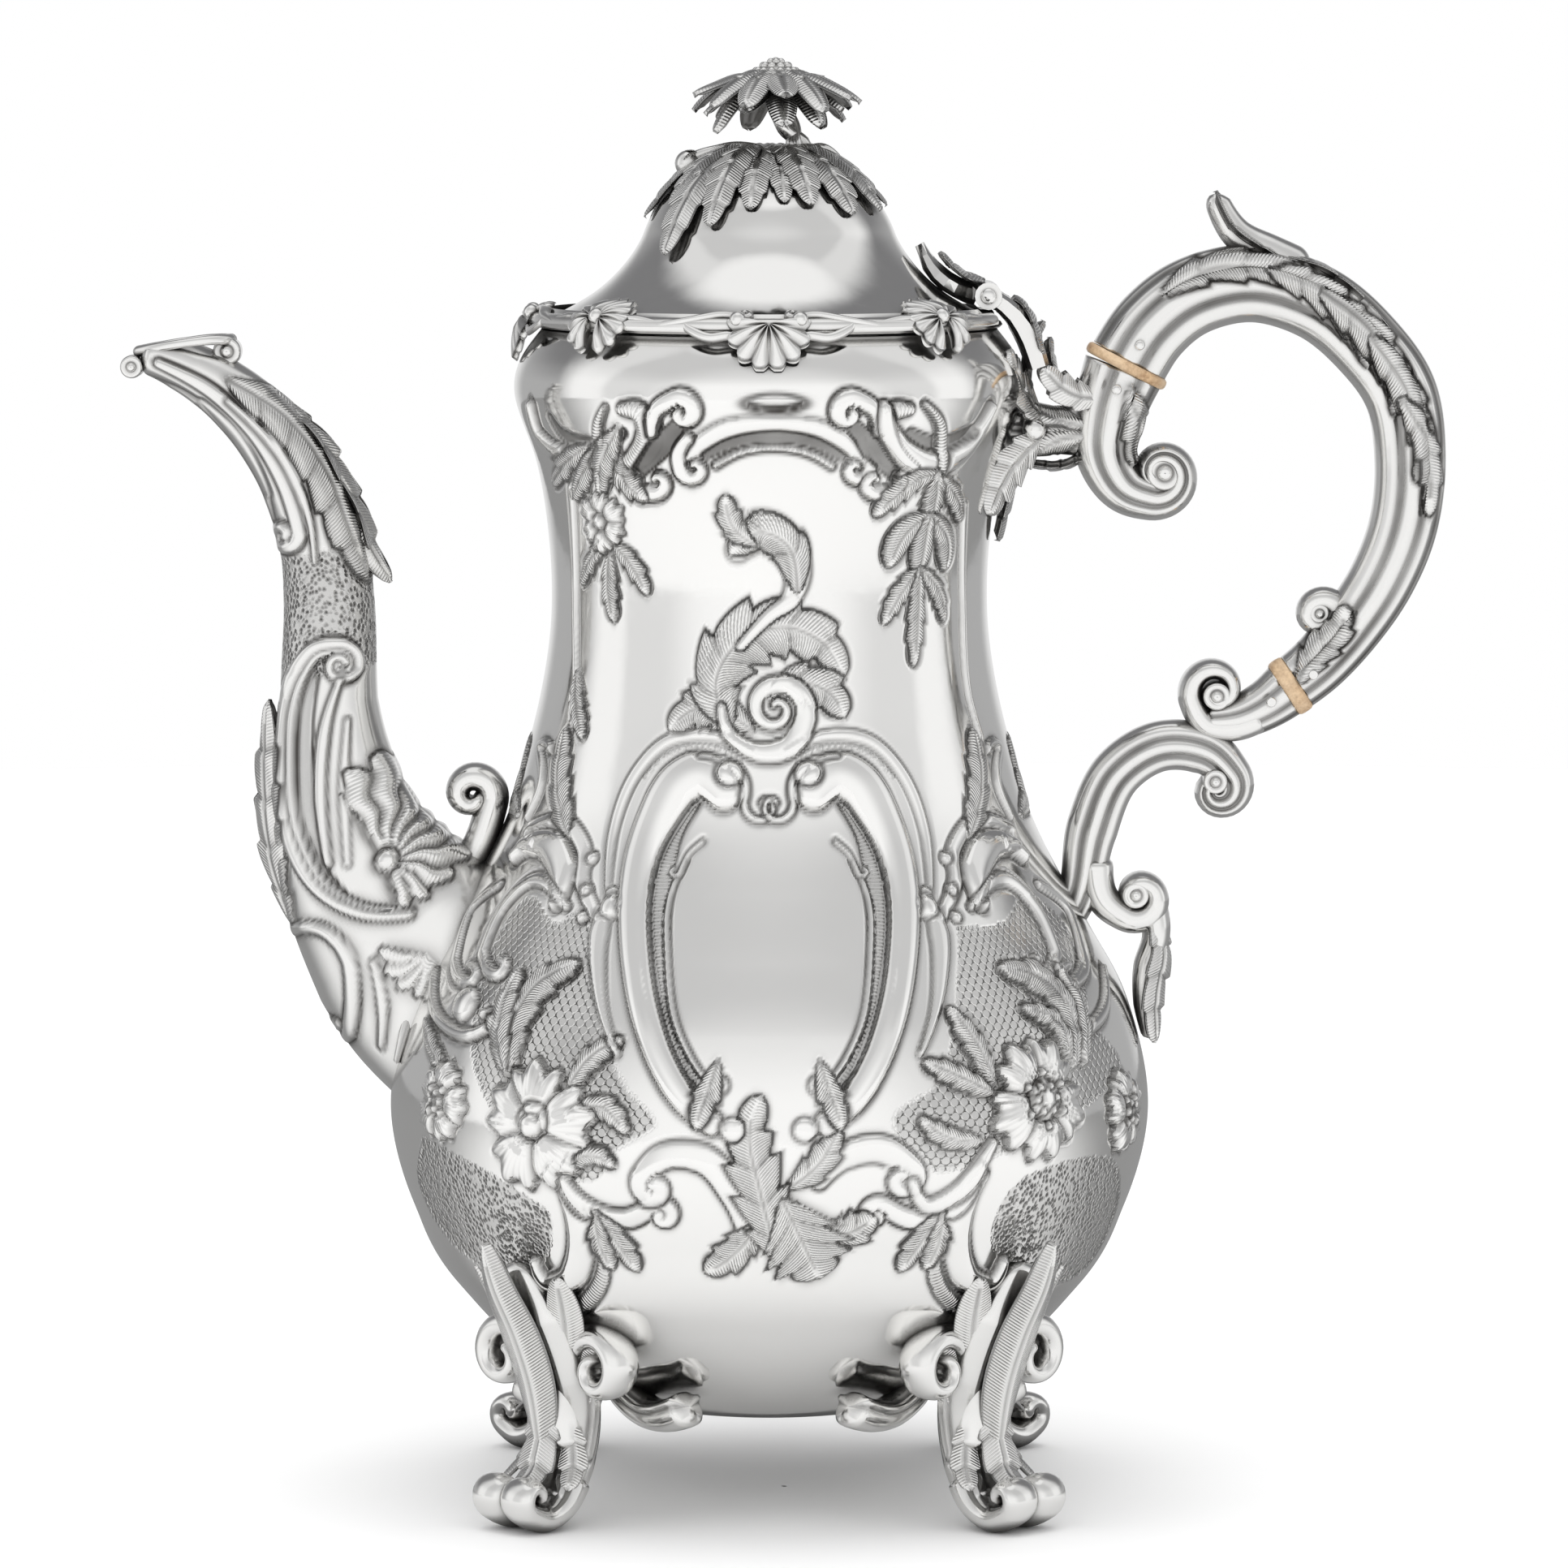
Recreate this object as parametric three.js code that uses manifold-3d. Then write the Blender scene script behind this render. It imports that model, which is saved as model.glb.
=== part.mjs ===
// A silver coffee pot on four cast feet: a pear-shaped raised body, a cast spout, a hinged domed lid
// with a flower finial, and a scroll handle in three castings joined through two insulating rings.
// Units are millimetres, +Z is up. The spout points to -X and the handle to +X.
import * as THREE from "three";
import { mergeVertices } from "three/addons/utils/BufferGeometryUtils.js";
import Module from "manifold-3d";

const wasm = await Module();
wasm.setup();

// ---------------------------------------------------------------- driving dimensions
const POT_AXIS_X = -2.7; // the body's own axis, so that the whole object is centred over the origin
const WALL = 0.8; // thickness of the raised silver sheet
const GAP = 0.3; // clearance kept between touching pieces
const BODY_SEGMENTS = 36;
const LID_SEGMENTS = 32;

const BODY_BOTTOM_Z = 17;
const BELLY_RADIUS = 71.4;
const BELLY_Z = 71;
const NECK_RADIUS = 40.2;
const SHOULDER_RADIUS = 47;
const SEAT_Z = 215.5; // the flat that the lid rests on
const BASE_SEAM_Z = 38; // between the dished base and the belly
const NECK_SEAM_Z = 110; // between the belly and the neck
const MOUTH_RADIUS = 38.9; // inside edge of the body sheet at the mouth

const HINGE = { x: 40.1, z: 221.7 };
const KNUCKLE_RADIUS = 2.5;
const PIN_RADIUS = 0.8;
const HINGE_HALF_WIDTH = 8.5;
const HINGE_NOTCH_HALF_WIDTH = 11.5;
const HINGE_NOTCH_X = 40.6;
// The raised border stops clear of the knuckles and of its own swing.
const BORDER_NOTCH = { x: 37, halfWidth: 14.5 };

const LID_RADIUS = 42.8;
const LID_TOP_Z = 247;
const FINIAL_TOP_Z = 265.5;
const FLOWER_RADIUS = 15.6;
const FLOWER_X = 1.2;

const RIVET_RADIUS = 0.8;
const SPIGOT_LENGTH = 8;
const SPIGOT_INSET = 2.4; // how far a spigot is stepped in from its insulating ring's edge

const FOOT_TOE_RADIUS = 60; // distance from the pot's axis to the middle of a foot's pad
const FOOT_ANGLES = { front_left: 225, front_right: 315, back_right: 45, back_left: 135 };

// ---------------------------------------------------------------- solids and meshes
const silver = () => new THREE.MeshStandardMaterial({ color: 0xd9d9d6, roughness: 0.18, metalness: 1 });
const ivory = () => new THREE.MeshStandardMaterial({ color: 0xcfae7d, roughness: 0.45, metalness: 0 });

// A closed three.js geometry as a manifold-3d solid, with its faces turned outwards.
function solid(geometry) {
  const bare = (geometry.index ? geometry.toNonIndexed() : geometry.clone());
  const positions = new THREE.BufferGeometry().setAttribute("position", bare.getAttribute("position"));
  const merged = mergeVertices(positions, 1e-4);
  const triangles = new Uint32Array(merged.index.array);
  const make = () => new wasm.Manifold(
    new wasm.Mesh({ numProp: 3, vertProperties: merged.attributes.position.array, triVerts: triangles }),
  );
  const made = make();
  if (made.volume() >= 0) return made;
  for (let i = 0; i < triangles.length; i += 3) {
    [triangles[i + 1], triangles[i + 2]] = [triangles[i + 2], triangles[i + 1]];
  }
  return make();
}

function geometryOf(made) {
  const mesh = made.getMesh();
  const geometry = new THREE.BufferGeometry();
  const position = new Float32Array(mesh.numVert * 3);
  for (let i = 0; i < mesh.numVert; i++) {
    position.set(mesh.vertProperties.subarray(i * mesh.numProp, i * mesh.numProp + 3), i * 3);
  }
  geometry.setAttribute("position", new THREE.BufferAttribute(position, 3));
  geometry.setIndex(new THREE.BufferAttribute(mesh.triVerts, 1));
  geometry.computeVertexNormals();
  return geometry;
}

const pot = new THREE.Group();
const potAxis = new THREE.Group();
potAxis.position.x = POT_AXIS_X;
pot.add(potAxis);

function addPiece(name, made, material) {
  const mesh = new THREE.Mesh(geometryOf(made), material);
  mesh.name = name;
  potAxis.add(mesh);
  return mesh;
}

const union = (...solids) => solids.reduce((whole, next) => whole.add(next));

// A profile of [radius, z] points turned about the Z axis.
function turned(profile, segments) {
  const points = profile.map(([r, z]) => new THREE.Vector2(r, z));
  return solid(new THREE.LatheGeometry(points, segments).rotateX(Math.PI / 2));
}

// A ring with a rectangular or tapered section, given by its closed [radius, z] outline.
const ring = (outline, segments) => turned([...outline, outline[0]], segments);

// A cylinder of the given radius between y = -half and y = +half at (x, z).
function crossPin(x, z, radius, half, sides = 16) {
  const geometry = new THREE.CylinderGeometry(radius, radius, 2 * half, sides);
  return solid(geometry.translate(x, 0, z));
}

function box(x0, x1, y0, y1, z0, z1) {
  const geometry = new THREE.BoxGeometry(x1 - x0, y1 - y0, z1 - z0);
  return solid(geometry.translate((x0 + x1) / 2, (y0 + y1) / 2, (z0 + z1) / 2));
}

// A smooth function through [t, value] pairs, used for a section that changes along a path.
function along(pairs) {
  return (t) => {
    let i = 0;
    while (i < pairs.length - 2 && t > pairs[i + 1][0]) i++;
    const [t0, a] = pairs[i];
    const [t1, b] = pairs[i + 1];
    return THREE.MathUtils.lerp(a, b, THREE.MathUtils.smoothstep(t, t0, t1));
  };
}

// A tapering bar along a smooth path in the XZ plane. thick is the half-thickness in the path's own
// plane, wide the half-width along Y, and square above 0 flattens the oval section's sides.
function taperedBar(path, { thick, wide, steps = 16, sides = 10, square = 0.25, offset = 0, y = 0 }) {
  const curve = new THREE.CatmullRomCurve3(
    path.map(([x, z]) => new THREE.Vector3(x, 0, z)), false, "centripetal",
  );
  const positions = [];
  const indices = [];
  const shrink = (v) => Math.sign(v) * Math.abs(v) ** (1 - square);
  for (let i = 0; i <= steps; i++) {
    const t = i / steps;
    const centre = curve.getPointAt(t);
    const tangent = curve.getTangentAt(t);
    const a = thick(t) + offset;
    const b = wide(t) + offset;
    for (let k = 0; k < sides; k++) {
      const angle = (2 * Math.PI * k) / sides;
      const inPlane = a * shrink(Math.cos(angle));
      const across = b * shrink(Math.sin(angle));
      positions.push(centre.x - tangent.z * inPlane, y + across, centre.z + tangent.x * inPlane);
    }
  }
  for (let i = 0; i < steps; i++) {
    for (let k = 0; k < sides; k++) {
      const next = (k + 1) % sides;
      const [p, q, r, s] = [i * sides + k, i * sides + next, (i + 1) * sides + k, (i + 1) * sides + next];
      indices.push(p, r, q, q, r, s);
    }
  }
  for (let k = 1; k < sides - 1; k++) {
    const end = steps * sides;
    indices.push(0, k, k + 1);
    indices.push(end, end + k + 1, end + k);
  }
  const geometry = new THREE.BufferGeometry();
  geometry.setAttribute("position", new THREE.BufferAttribute(new Float32Array(positions), 3));
  geometry.setIndex(indices);
  return solid(geometry);
}

// A scroll's rolled end: a short drum lying along Y.
const volute = (x, z, radius, half) => crossPin(x, z, radius, half, 14);

// ---------------------------------------------------------------- body
const bodyOutside = [
  [0, BODY_BOTTOM_Z], [24, BODY_BOTTOM_Z], [36, 21], [47, 28], [55.6, 36.6], [65.4, 50],
  [BELLY_RADIUS, BELLY_Z], [67.4, 92], [60.8, 104.7], [54.2, 116.4], [48, 129], [43.4, 143.5],
  [40.7, 158], [NECK_RADIUS, 168], [41, 180], [42.9, 191], [SHOULDER_RADIUS, 204],
  [46.1, 209.4], [42, SEAT_Z],
];
const offsetProfile = (profile, by) => profile.map(([r, z], i) => {
  const [r0, z0] = profile[Math.max(0, i - 1)];
  const [r1, z1] = profile[Math.min(profile.length - 1, i + 1)];
  const length = Math.hypot(r1 - r0, z1 - z0);
  return [Math.max(0, r + (by * (z1 - z0)) / length), z - (by * (r1 - r0)) / length];
});
// The body's outside grown by the gap: what is soldered to the body is cut back by this.
const bodyEnvelope = turned(
  [
    [0, BODY_BOTTOM_Z - GAP], ...offsetProfile(bodyOutside, GAP).slice(1, -1), [42.3, SEAT_Z + GAP],
    [0, SEAT_Z + GAP],
  ],
  BODY_SEGMENTS,
);
const bodyInside = offsetProfile(bodyOutside.slice(1, -2), -WALL).reverse();
const bodySheet = turned(
  [
    ...bodyOutside, [MOUTH_RADIUS, SEAT_Z], [MOUTH_RADIUS, SEAT_Z - 4.6], ...bodyInside,
    [0, BODY_BOTTOM_Z + WALL],
  ],
  BODY_SEGMENTS,
);
// The sheet is soldered up from three courses, with a gap at each seam.
const bodyCourse = (low, high) => bodySheet.intersect(turned(
  [
    [0, low + GAP / 2], [BELLY_RADIUS + 5, low + GAP / 2], [BELLY_RADIUS + 5, high - GAP / 2],
    [0, high - GAP / 2],
  ],
  BODY_SEGMENTS,
));
const mouthRing = ring(
  [
    [MOUTH_RADIUS - GAP, SEAT_Z - 4.4], [MOUTH_RADIUS - GAP, SEAT_Z], [37.2, SEAT_Z],
    [37.2, SEAT_Z - 4.4],
  ],
  BODY_SEGMENTS,
);

// ---------------------------------------------------------------- spout
const SPOUT_PATH = [
  [-52, 90], [-60, 96], [-67, 104], [-74, 114], [-78.5, 124], [-81, 138], [-81.3, 150], [-81.2, 165],
  [-82.5, 176.7], [-87.9, 190.2], [-97.2, 201.9], [-107, 208.4], [-115.6, 210.8],
];
const SPOUT_WALL = 1.3;
const spoutThick = along(
  [[0, 24], [0.14, 20.5], [0.3, 13.5], [0.46, 9.3], [0.66, 8.3], [0.86, 6], [1, 3]],
);
const spoutWide = along([[0, 17], [0.15, 16], [0.3, 12], [0.5, 8.8], [0.8, 7.4], [0.93, 6.4], [1, 4.2]]);
const spoutOutside = taperedBar(
  SPOUT_PATH, { thick: spoutThick, wide: spoutWide, steps: 16, sides: 12, square: 0.12 },
);
const spoutBore = taperedBar(
  [...SPOUT_PATH.slice(0, -1), [-113.8, 212.2]],
  { thick: spoutThick, wide: spoutWide, steps: 14, sides: 10, square: 0.12, offset: -SPOUT_WALL },
);
// The lip is cut open from above, so that the channel shows from the top.
const lipCut = taperedBar([[-103, 214.8], [-109, 213.6], [-116, 212]], {
  thick: along([[0, 4.6], [0.5, 5], [1, 2.6]]), wide: along([[0, 4.2], [0.5, 4.6], [1, 2.8]]),
  steps: 4, sides: 10,
});
const spoutCurl = volute(-99.6, 211.4, 2.6, 3.2);
const spoutTipRoll = volute(-117.3, 208.6, 2.1, 4.2);
const spoutFrontLeaf = taperedBar([
  [-87.6, 106], [-91.4, 116], [-92.6, 128], [-91.2, 140], [-91.2, 146],
], {
  thick: along(
    [[0, 1], [0.5, 2.2], [1, 0.8]],
  ), wide: along([[0, 2.5], [0.5, 4], [1, 1.4]]), steps: 6, sides: 8,
});
const spoutBackLeaf = taperedBar([
  [-91, 204], [-81.6, 194], [-75.6, 182], [-72.6, 171.6], [-69.6, 168.6],
], {
  thick: along(
    [[0, 0.8], [0.6, 1.8], [1, 0.5]],
  ), wide: along([[0, 2], [0.6, 5], [1, 1.6]]), steps: 7, sides: 8,
});
const spoutTopScroll = union(
  taperedBar([[-61, 108], [-59, 117], [-56.4, 124.6], [-53.4, 130]], {
    thick: () => 2.6, wide: () => 4.2, steps: 5, sides: 8,
  }),
  volute(-54.6, 129, 3.6, 4.6),
);
const spout = union(spoutOutside, spoutFrontLeaf, spoutBackLeaf, spoutTopScroll, spoutTipRoll)
  .subtract(spoutBore).subtract(lipCut).add(spoutCurl).subtract(bodyEnvelope);

// The passage through the body sheet behind the spout.
const passage = taperedBar(
  [[-80, 100], [-67, 97], [-55, 95]], { thick: () => 9.5, wide: () => 8.5, steps: 2, sides: 16 },
);

// ---------------------------------------------------------------- lid
const LID_BOTTOM_Z = SEAT_Z + GAP;
const lidOutside = [
  [LID_RADIUS, 216.9], [37.2, 219.2], [31.2, 222.9], [26.6, 227.4], [23.8, 231.5], [22, 235.6], [19.5, 239.5],
  [15, 243.4], [8, 246.2], [2.1, LID_TOP_Z],
];
const lidInside = [
  [2.1, LID_TOP_Z - WALL], [7.8, 245.3], [14.5, 242.6], [18.8, 238.9], [21.2, 235.2], [23, 231],
  [25.9, 226.8],
  [30.6, 222.2], [36.8, 218.3], [36.8, LID_BOTTOM_Z],
];
const hingeNotch = box(HINGE_NOTCH_X, 60, -HINGE_NOTCH_HALF_WIDTH, HINGE_NOTCH_HALF_WIDTH, 200, 240);
const lid = ring(
  [[LID_RADIUS, LID_BOTTOM_Z], ...lidOutside, ...lidInside], LID_SEGMENTS,
).subtract(hingeNotch);
const lidEnvelope = turned(
  [
    [0, 208], [LID_RADIUS + GAP, 208], [LID_RADIUS + GAP, 217.1],
    ...offsetProfile(lidOutside, GAP).slice(1, -1),
    [0, LID_TOP_Z + GAP],
  ],
  LID_SEGMENTS,
);
const bezel = ring(
  [[34.9, 209.6], [36.4, LID_BOTTOM_Z], [36.4, 217.6], [35.5, 217.6], [34, 209.6]], LID_SEGMENTS,
);

// The cast border stands on the lid's rim: a moulded ring, with shells at the front, back and spout
// side, and a husk between each pair.
function borderShell(turn) {
  const shell = new THREE.SphereGeometry(1, 10, 6).scale(2.2, 5.4, 4).translate(44, 0, 217.6);
  return solid(shell.rotateZ(THREE.MathUtils.degToRad(turn)));
}
function borderHusk(turn) {
  const husk = new THREE.SphereGeometry(1, 8, 5).scale(2.4, 6, 2.8).translate(42.8, 0, 218.4);
  return solid(husk.rotateZ(THREE.MathUtils.degToRad(turn)));
}
const borderRing = ring(
  [[41, 217.2], [43.2, 216.1], [44.4, 216.6], [44.2, 218.6], [42.6, 219.6], [40, 219]], LID_SEGMENTS,
);
const border = union(
  borderRing, ...[90, 180, 270].map(borderShell), ...[45, 135, 225, 315].map(borderHusk),
)
  .subtract(lidEnvelope)
  .subtract(bodyEnvelope)
  .subtract(box(BORDER_NOTCH.x, 60, -BORDER_NOTCH.halfWidth, BORDER_NOTCH.halfWidth, 200, 240));

// ---------------------------------------------------------------- hinge
const hingeBore = crossPin(HINGE.x, HINGE.z, PIN_RADIUS + GAP, 20);
const knuckle = (y0, y1) => {
  const drum = new THREE.CylinderGeometry(KNUCKLE_RADIUS, KNUCKLE_RADIUS, y1 - y0, 16);
  return solid(drum.translate(HINGE.x, (y0 + y1) / 2, HINGE.z));
};
const LEAF_HALF_WIDTH = 3.2;
const hingePin = crossPin(HINGE.x, HINGE.z, PIN_RADIUS, HINGE_HALF_WIDTH + 0.4);
const leafCasting = taperedBar([[38.2, 221.7], [34, 223.2], [30.4, 226], [27.6, 231]], {
  thick: along([[0, 2.2], [0.5, 2], [1, 0.9]]), wide: along(
    [[0, 3], [0.4, 7.6], [0.75, 5], [1, 1.2]],
  ), steps: 7,
});
const hingeLeaf = union(knuckle(-LEAF_HALF_WIDTH, LEAF_HALF_WIDTH), leafCasting)
  .subtract(lidEnvelope)
  .subtract(hingeBore)
  .subtract(union(...[-1, 1].map((side) => box(
    HINGE.x - KNUCKLE_RADIUS - GAP, 60,
    ...(side < 0 ? [-20, -LEAF_HALF_WIDTH] : [LEAF_HALF_WIDTH, 20]), 200, 240,
  ))));
const bracketArm = taperedBar([[40.9, 221.4], [44.6, 218.6], [47.4, 214.4], [49.4, 208.6]], {
  thick: along([[0, 1.8], [0.6, 2.4], [1, 2.2]]), wide: () => HINGE_HALF_WIDTH, steps: 6, square: 0.5,
});
const knuckleClear = union(
  box(HINGE.x - 12, HINGE.x + 3.9, -LEAF_HALF_WIDTH - GAP, LEAF_HALF_WIDTH + GAP, 214, 232),
  crossPin(HINGE.x, HINGE.z, KNUCKLE_RADIUS + 1.2, LEAF_HALF_WIDTH + GAP),
);
const hingeBracket = union(
  knuckle(
    -HINGE_HALF_WIDTH, -LEAF_HALF_WIDTH - GAP,
  ), knuckle(LEAF_HALF_WIDTH + GAP, HINGE_HALF_WIDTH), bracketArm,
)
  .subtract(knuckleClear)
  .subtract(hingeBore)
  .subtract(box(20, 41.6, -20, 20, 200, HINGE.z - KNUCKLE_RADIUS - 0.1))
  .subtract(bodyEnvelope);

// ---------------------------------------------------------------- finial
const FLOWER_FLAT_Z = 260.8; // the flat in the middle of the petals that the domed centre sits on
const flowerLathe = new THREE.LatheGeometry(
  [
    [0, 257.4], [3, 257.4], [9, 256], [FLOWER_RADIUS, 253.6], [FLOWER_RADIUS, 254.8], [10, 259],
    [5, FLOWER_FLAT_Z],
    [0, FLOWER_FLAT_Z],
  ].map(([r, z]) => new THREE.Vector2(r, z)), 32,
).rotateX(Math.PI / 2);
const flowerPoints = flowerLathe.getAttribute("position");
for (let i = 0; i < flowerPoints.count; i++) {
  const [x, y] = [flowerPoints.getX(i), flowerPoints.getY(i)];
  const radius = Math.hypot(x, y);
  const petal = 1 - 0.1 * (radius / FLOWER_RADIUS) ** 2 * (1 - Math.cos(16 * Math.atan2(y, x))) / 2;
  flowerPoints.setXY(i, x * petal, y * petal);
}
const flower = solid(flowerLathe.translate(FLOWER_X, 0, 0));
const flowerCentre = turned([
  [0, FLOWER_FLAT_Z + GAP], [3.9, FLOWER_FLAT_Z + GAP], [4.6, 262.4], [4, 264], [2.4, 265.1],
  [0, FINIAL_TOP_Z],
], 16).translate([FLOWER_X, 0, 0]);
const stem = taperedBar([[4.6, 246.6], [5.6, 248.6], [3.6, 252.4], [1.2, 257]], {
  thick: along(
    [[0, 3], [0.25, 1.9], [0.7, 1.6], [1, 2.2]],
  ), wide: along([[0, 3], [0.25, 1.9], [0.7, 1.6], [1, 2.2]]),
  steps: 7, sides: 10, square: 0,
}).subtract(solid(flowerLathe.clone().translate(0, 0, -GAP))).subtract(lidEnvelope);

// A leaf lying over the lid's dome: radial path at an angle about the pot's axis.
function leaf(turn, { reach = 22, lift = 1.4, half = 3.2, start = 5.5 }) {
  const domeZ = (r) => LID_TOP_Z + 0.4 - 0.0034 * r * r - 0.00087 * r ** 3;
  const path = [0, 0.35, 0.7, 1].map((s) => {
    const r = THREE.MathUtils.lerp(start, reach, s);
    return [r, domeZ(r) + lift * (1 - 0.3 * s)];
  });
  const bar = taperedBar(path, {
    thick: along([[0, 0.9], [0.5, 0.8], [1, 0.35]]), wide: along([[0, 0.8], [0.45, half], [1, 0.3]]),
    steps: 4, sides: 6, square: 0,
  });
  return bar.rotate([0, 0, turn]);
}
// The collar at the dome's crown that every leaf of a spray grows from.
const leafCollar = ring([[3, 247.2], [3, 248.6], [10.5, 247.2], [10.5, 245.4]], 24);
const sprayLeft = union(
  leafCollar,
  leaf(205, { reach: 21 }), leaf(225, { reach: 26 }), leaf(250, { reach: 20 }),
  leaf(150, { reach: 23 }), leaf(110, { reach: 21 }),
).subtract(lidEnvelope).subtract(box(1.4, 40, -40, 40, 220, 260));
const sprayRight = union(
  leafCollar,
  leaf(285, { reach: 19 }), leaf(315, { reach: 24 }), leaf(345, { reach: 22 }), leaf(20, { reach: 24 }),
  leaf(55, { reach: 21 }), leaf(85, { reach: 19 }),
).subtract(lidEnvelope)
  .subtract(box(-40, 1.7, -40, 40, 220, 260))
  .subtract(
    taperedBar(
      [[4.4, 244], [5.6, 248.6], [3.6, 254]], { thick: () => 3.5, wide: () => 3.5, steps: 4, square: 0 },
    ),
  );
const bud = solid(new THREE.SphereGeometry(2.5, 12, 8).translate(-14.8, 0, 245.8))
  .subtract(lidEnvelope);
const STUD_RADIUS = 1.6;
const stud = turned([[0, 241.2], [STUD_RADIUS, 241.2], [STUD_RADIUS, 247], [0, 247]], 16);
const washer = ring([[2, 244.6], [5, 244.6], [5, 245.2], [2, 245.2]], 20);
const nutOutline = Array.from({ length: 6 }, (_, i) => new THREE.Vector2(
  3.6 * Math.cos((i * Math.PI) / 3), 3.6 * Math.sin((i * Math.PI) / 3),
));
const nutShape = new THREE.Shape(nutOutline);
const nut = solid(
  new THREE.ExtrudeGeometry(nutShape, { depth: 2, bevelEnabled: false }).translate(0, 0, 242.3),
)
  .subtract(turned([[0, 240], [STUD_RADIUS + GAP, 240], [STUD_RADIUS + GAP, 246], [0, 246]], 16));

// ---------------------------------------------------------------- handle
const GRIP_PATH = [
  [65.9, 209.1], [70.5, 216], [77.6, 221.4], [88.8, 223.8], [100.8, 220.2], [109.8, 212.7], [116.1, 203.7],
  [118, 191.7], [116.9, 179.7], [113.3, 170], [107.6, 161], [101.6, 154], [96.6, 149.9],
];
const GRIP_WALL = 1.5;
const gripThick = along([[0, 7.8], [0.3, 7.2], [0.7, 6.6], [1, 5.4]]);
const gripWide = along([[0, 7.4], [0.3, 6.8], [0.7, 6.4], [1, 5.2]]);
const UPPER_RING = { x: 65.7, z: 208.7, axis: [0.46, 0.888], thick: 7.8, wide: 7.4, halfRing: 1 };
const LOWER_RING = { x: 96.2, z: 149.6, axis: [0.835, 0.55], thick: 5.4, wide: 5.2, halfRing: 1.5 };

function straightBar(seat, from, to, inset, sides = 12) {
  const [ax, az] = seat.axis;
  return taperedBar([[seat.x + ax * from, seat.z + az * from], [seat.x + ax * to, seat.z + az * to]], {
    thick: () => seat.thick - inset, wide: () => seat.wide - inset, steps: 1, sides, square: 0.12,
  });
}
function insulator(seat, rivetHoles) {
  const disc = straightBar(seat, -seat.halfRing, seat.halfRing, 0);
  const spigots = straightBar(seat, -SPIGOT_LENGTH, SPIGOT_LENGTH, SPIGOT_INSET, 12);
  return rivetHoles.reduce((made, hole) => made.subtract(hole), disc.add(spigots));
}
// The socket space that a spigot fits, with the gap all round.
const spigotSpace = (seat) => straightBar(
  seat, -SPIGOT_LENGTH - GAP, SPIGOT_LENGTH + GAP, SPIGOT_INSET - GAP, 12,
);
const rivetAt = (seat, s) => ({ x: seat.x + seat.axis[0] * s, z: seat.z + seat.axis[1] * s });
const RIVET_OFFSET = 4.6; // from the middle of a ring to each rivet beside it
const rivets = {
  upper_socket_rivet: { ...rivetAt(UPPER_RING, -RIVET_OFFSET), half: 8.2 },
  grip_upper_rivet: { ...rivetAt(UPPER_RING, RIVET_OFFSET), half: 8.2 },
  grip_lower_rivet: { ...rivetAt(LOWER_RING, RIVET_OFFSET), half: 6.6 },
  lower_socket_rivet: { ...rivetAt(LOWER_RING, -RIVET_OFFSET), half: 6.6 },
};
const rivetHole = (name) => crossPin(rivets[name].x, rivets[name].z, RIVET_RADIUS + GAP, 12, 12);

const thumbLeaf = taperedBar([[98, 226.6], [90.6, 231], [84.6, 235], [82.2, 240.4]], {
  thick: along([[0, 1], [0.5, 2.2], [1, 1.6]]), wide: along([[0, 5], [0.5, 5], [1, 2.2]]), steps: 7,
});
const gripCurl = union(
  taperedBar([[104, 156.4], [104.4, 160.4], [102.6, 163.6]], {
    thick: () => 1.9, wide: () => 4, steps: 4, sides: 8,
  }),
  volute(101, 164, 2.6, 4.2),
);
const gripOutside = union(
  taperedBar(
    GRIP_PATH, { thick: gripThick, wide: gripWide, steps: 18, sides: 12, square: 0.12 },
  ), thumbLeaf, gripCurl,
);
const gripInside = taperedBar(GRIP_PATH, {
  thick: gripThick, wide: gripWide, steps: 14, sides: 8, square: 0.12, offset: -GRIP_WALL,
});
const gripEnds = union(
  ...[UPPER_RING, LOWER_RING].map((seat) => straightBar(seat, -12, seat.halfRing + GAP, -8)),
);
const upperSleeve = straightBar(UPPER_RING, UPPER_RING.halfRing + GAP, 8, 0);
const lowerSleeve = straightBar(LOWER_RING, LOWER_RING.halfRing + GAP, 7, 0);
const grip = union(gripOutside, upperSleeve, lowerSleeve)
  .subtract(gripInside)
  .subtract(gripEnds)
  .subtract(spigotSpace(UPPER_RING))
  .subtract(spigotSpace(LOWER_RING))
  .subtract(rivetHole("grip_upper_rivet"))
  .subtract(rivetHole("grip_lower_rivet"));

const upperScroll = taperedBar(
  [[64.8, 207.2], [62.5, 200], [62, 192.4], [65.4, 186.6], [70.6, 184.6], [75.4, 186.4]],
  {
    thick: along([[0, 7.8], [0.5, 6.4], [1, 3]]), wide: along([[0, 7.2], [0.5, 7], [1, 5.4]]), steps: 9,
    sides: 10,
  },
);
const upperArm = taperedBar([[39, 198.5], [50, 197.4], [57, 197], [62.4, 198]], {
  thick: along(
    [[0, 13.5], [0.4, 8.4], [0.75, 6.6], [1, 7]],
  ), wide: along([[0, 9], [0.5, 6], [1, 6.4]]), steps: 7,
});
const socketHornLeaf = taperedBar([[56.6, 203.4], [52.6, 207.6], [52, 213.4]], {
  thick: along([[0, 1.8], [1, 0.8]]), wide: along([[0, 4.4], [1, 2.6]]), steps: 4, sides: 8,
});
const upperSocketPlate = taperedBar([[47, 207.4], [47, 199.4], [45.4, 191], [42.6, 181]], {
  thick: along([[0, 2.4], [1, 1.4]]), wide: along([[0, 8], [0.5, 10.5], [1, 3]]), steps: 5,
});
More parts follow.
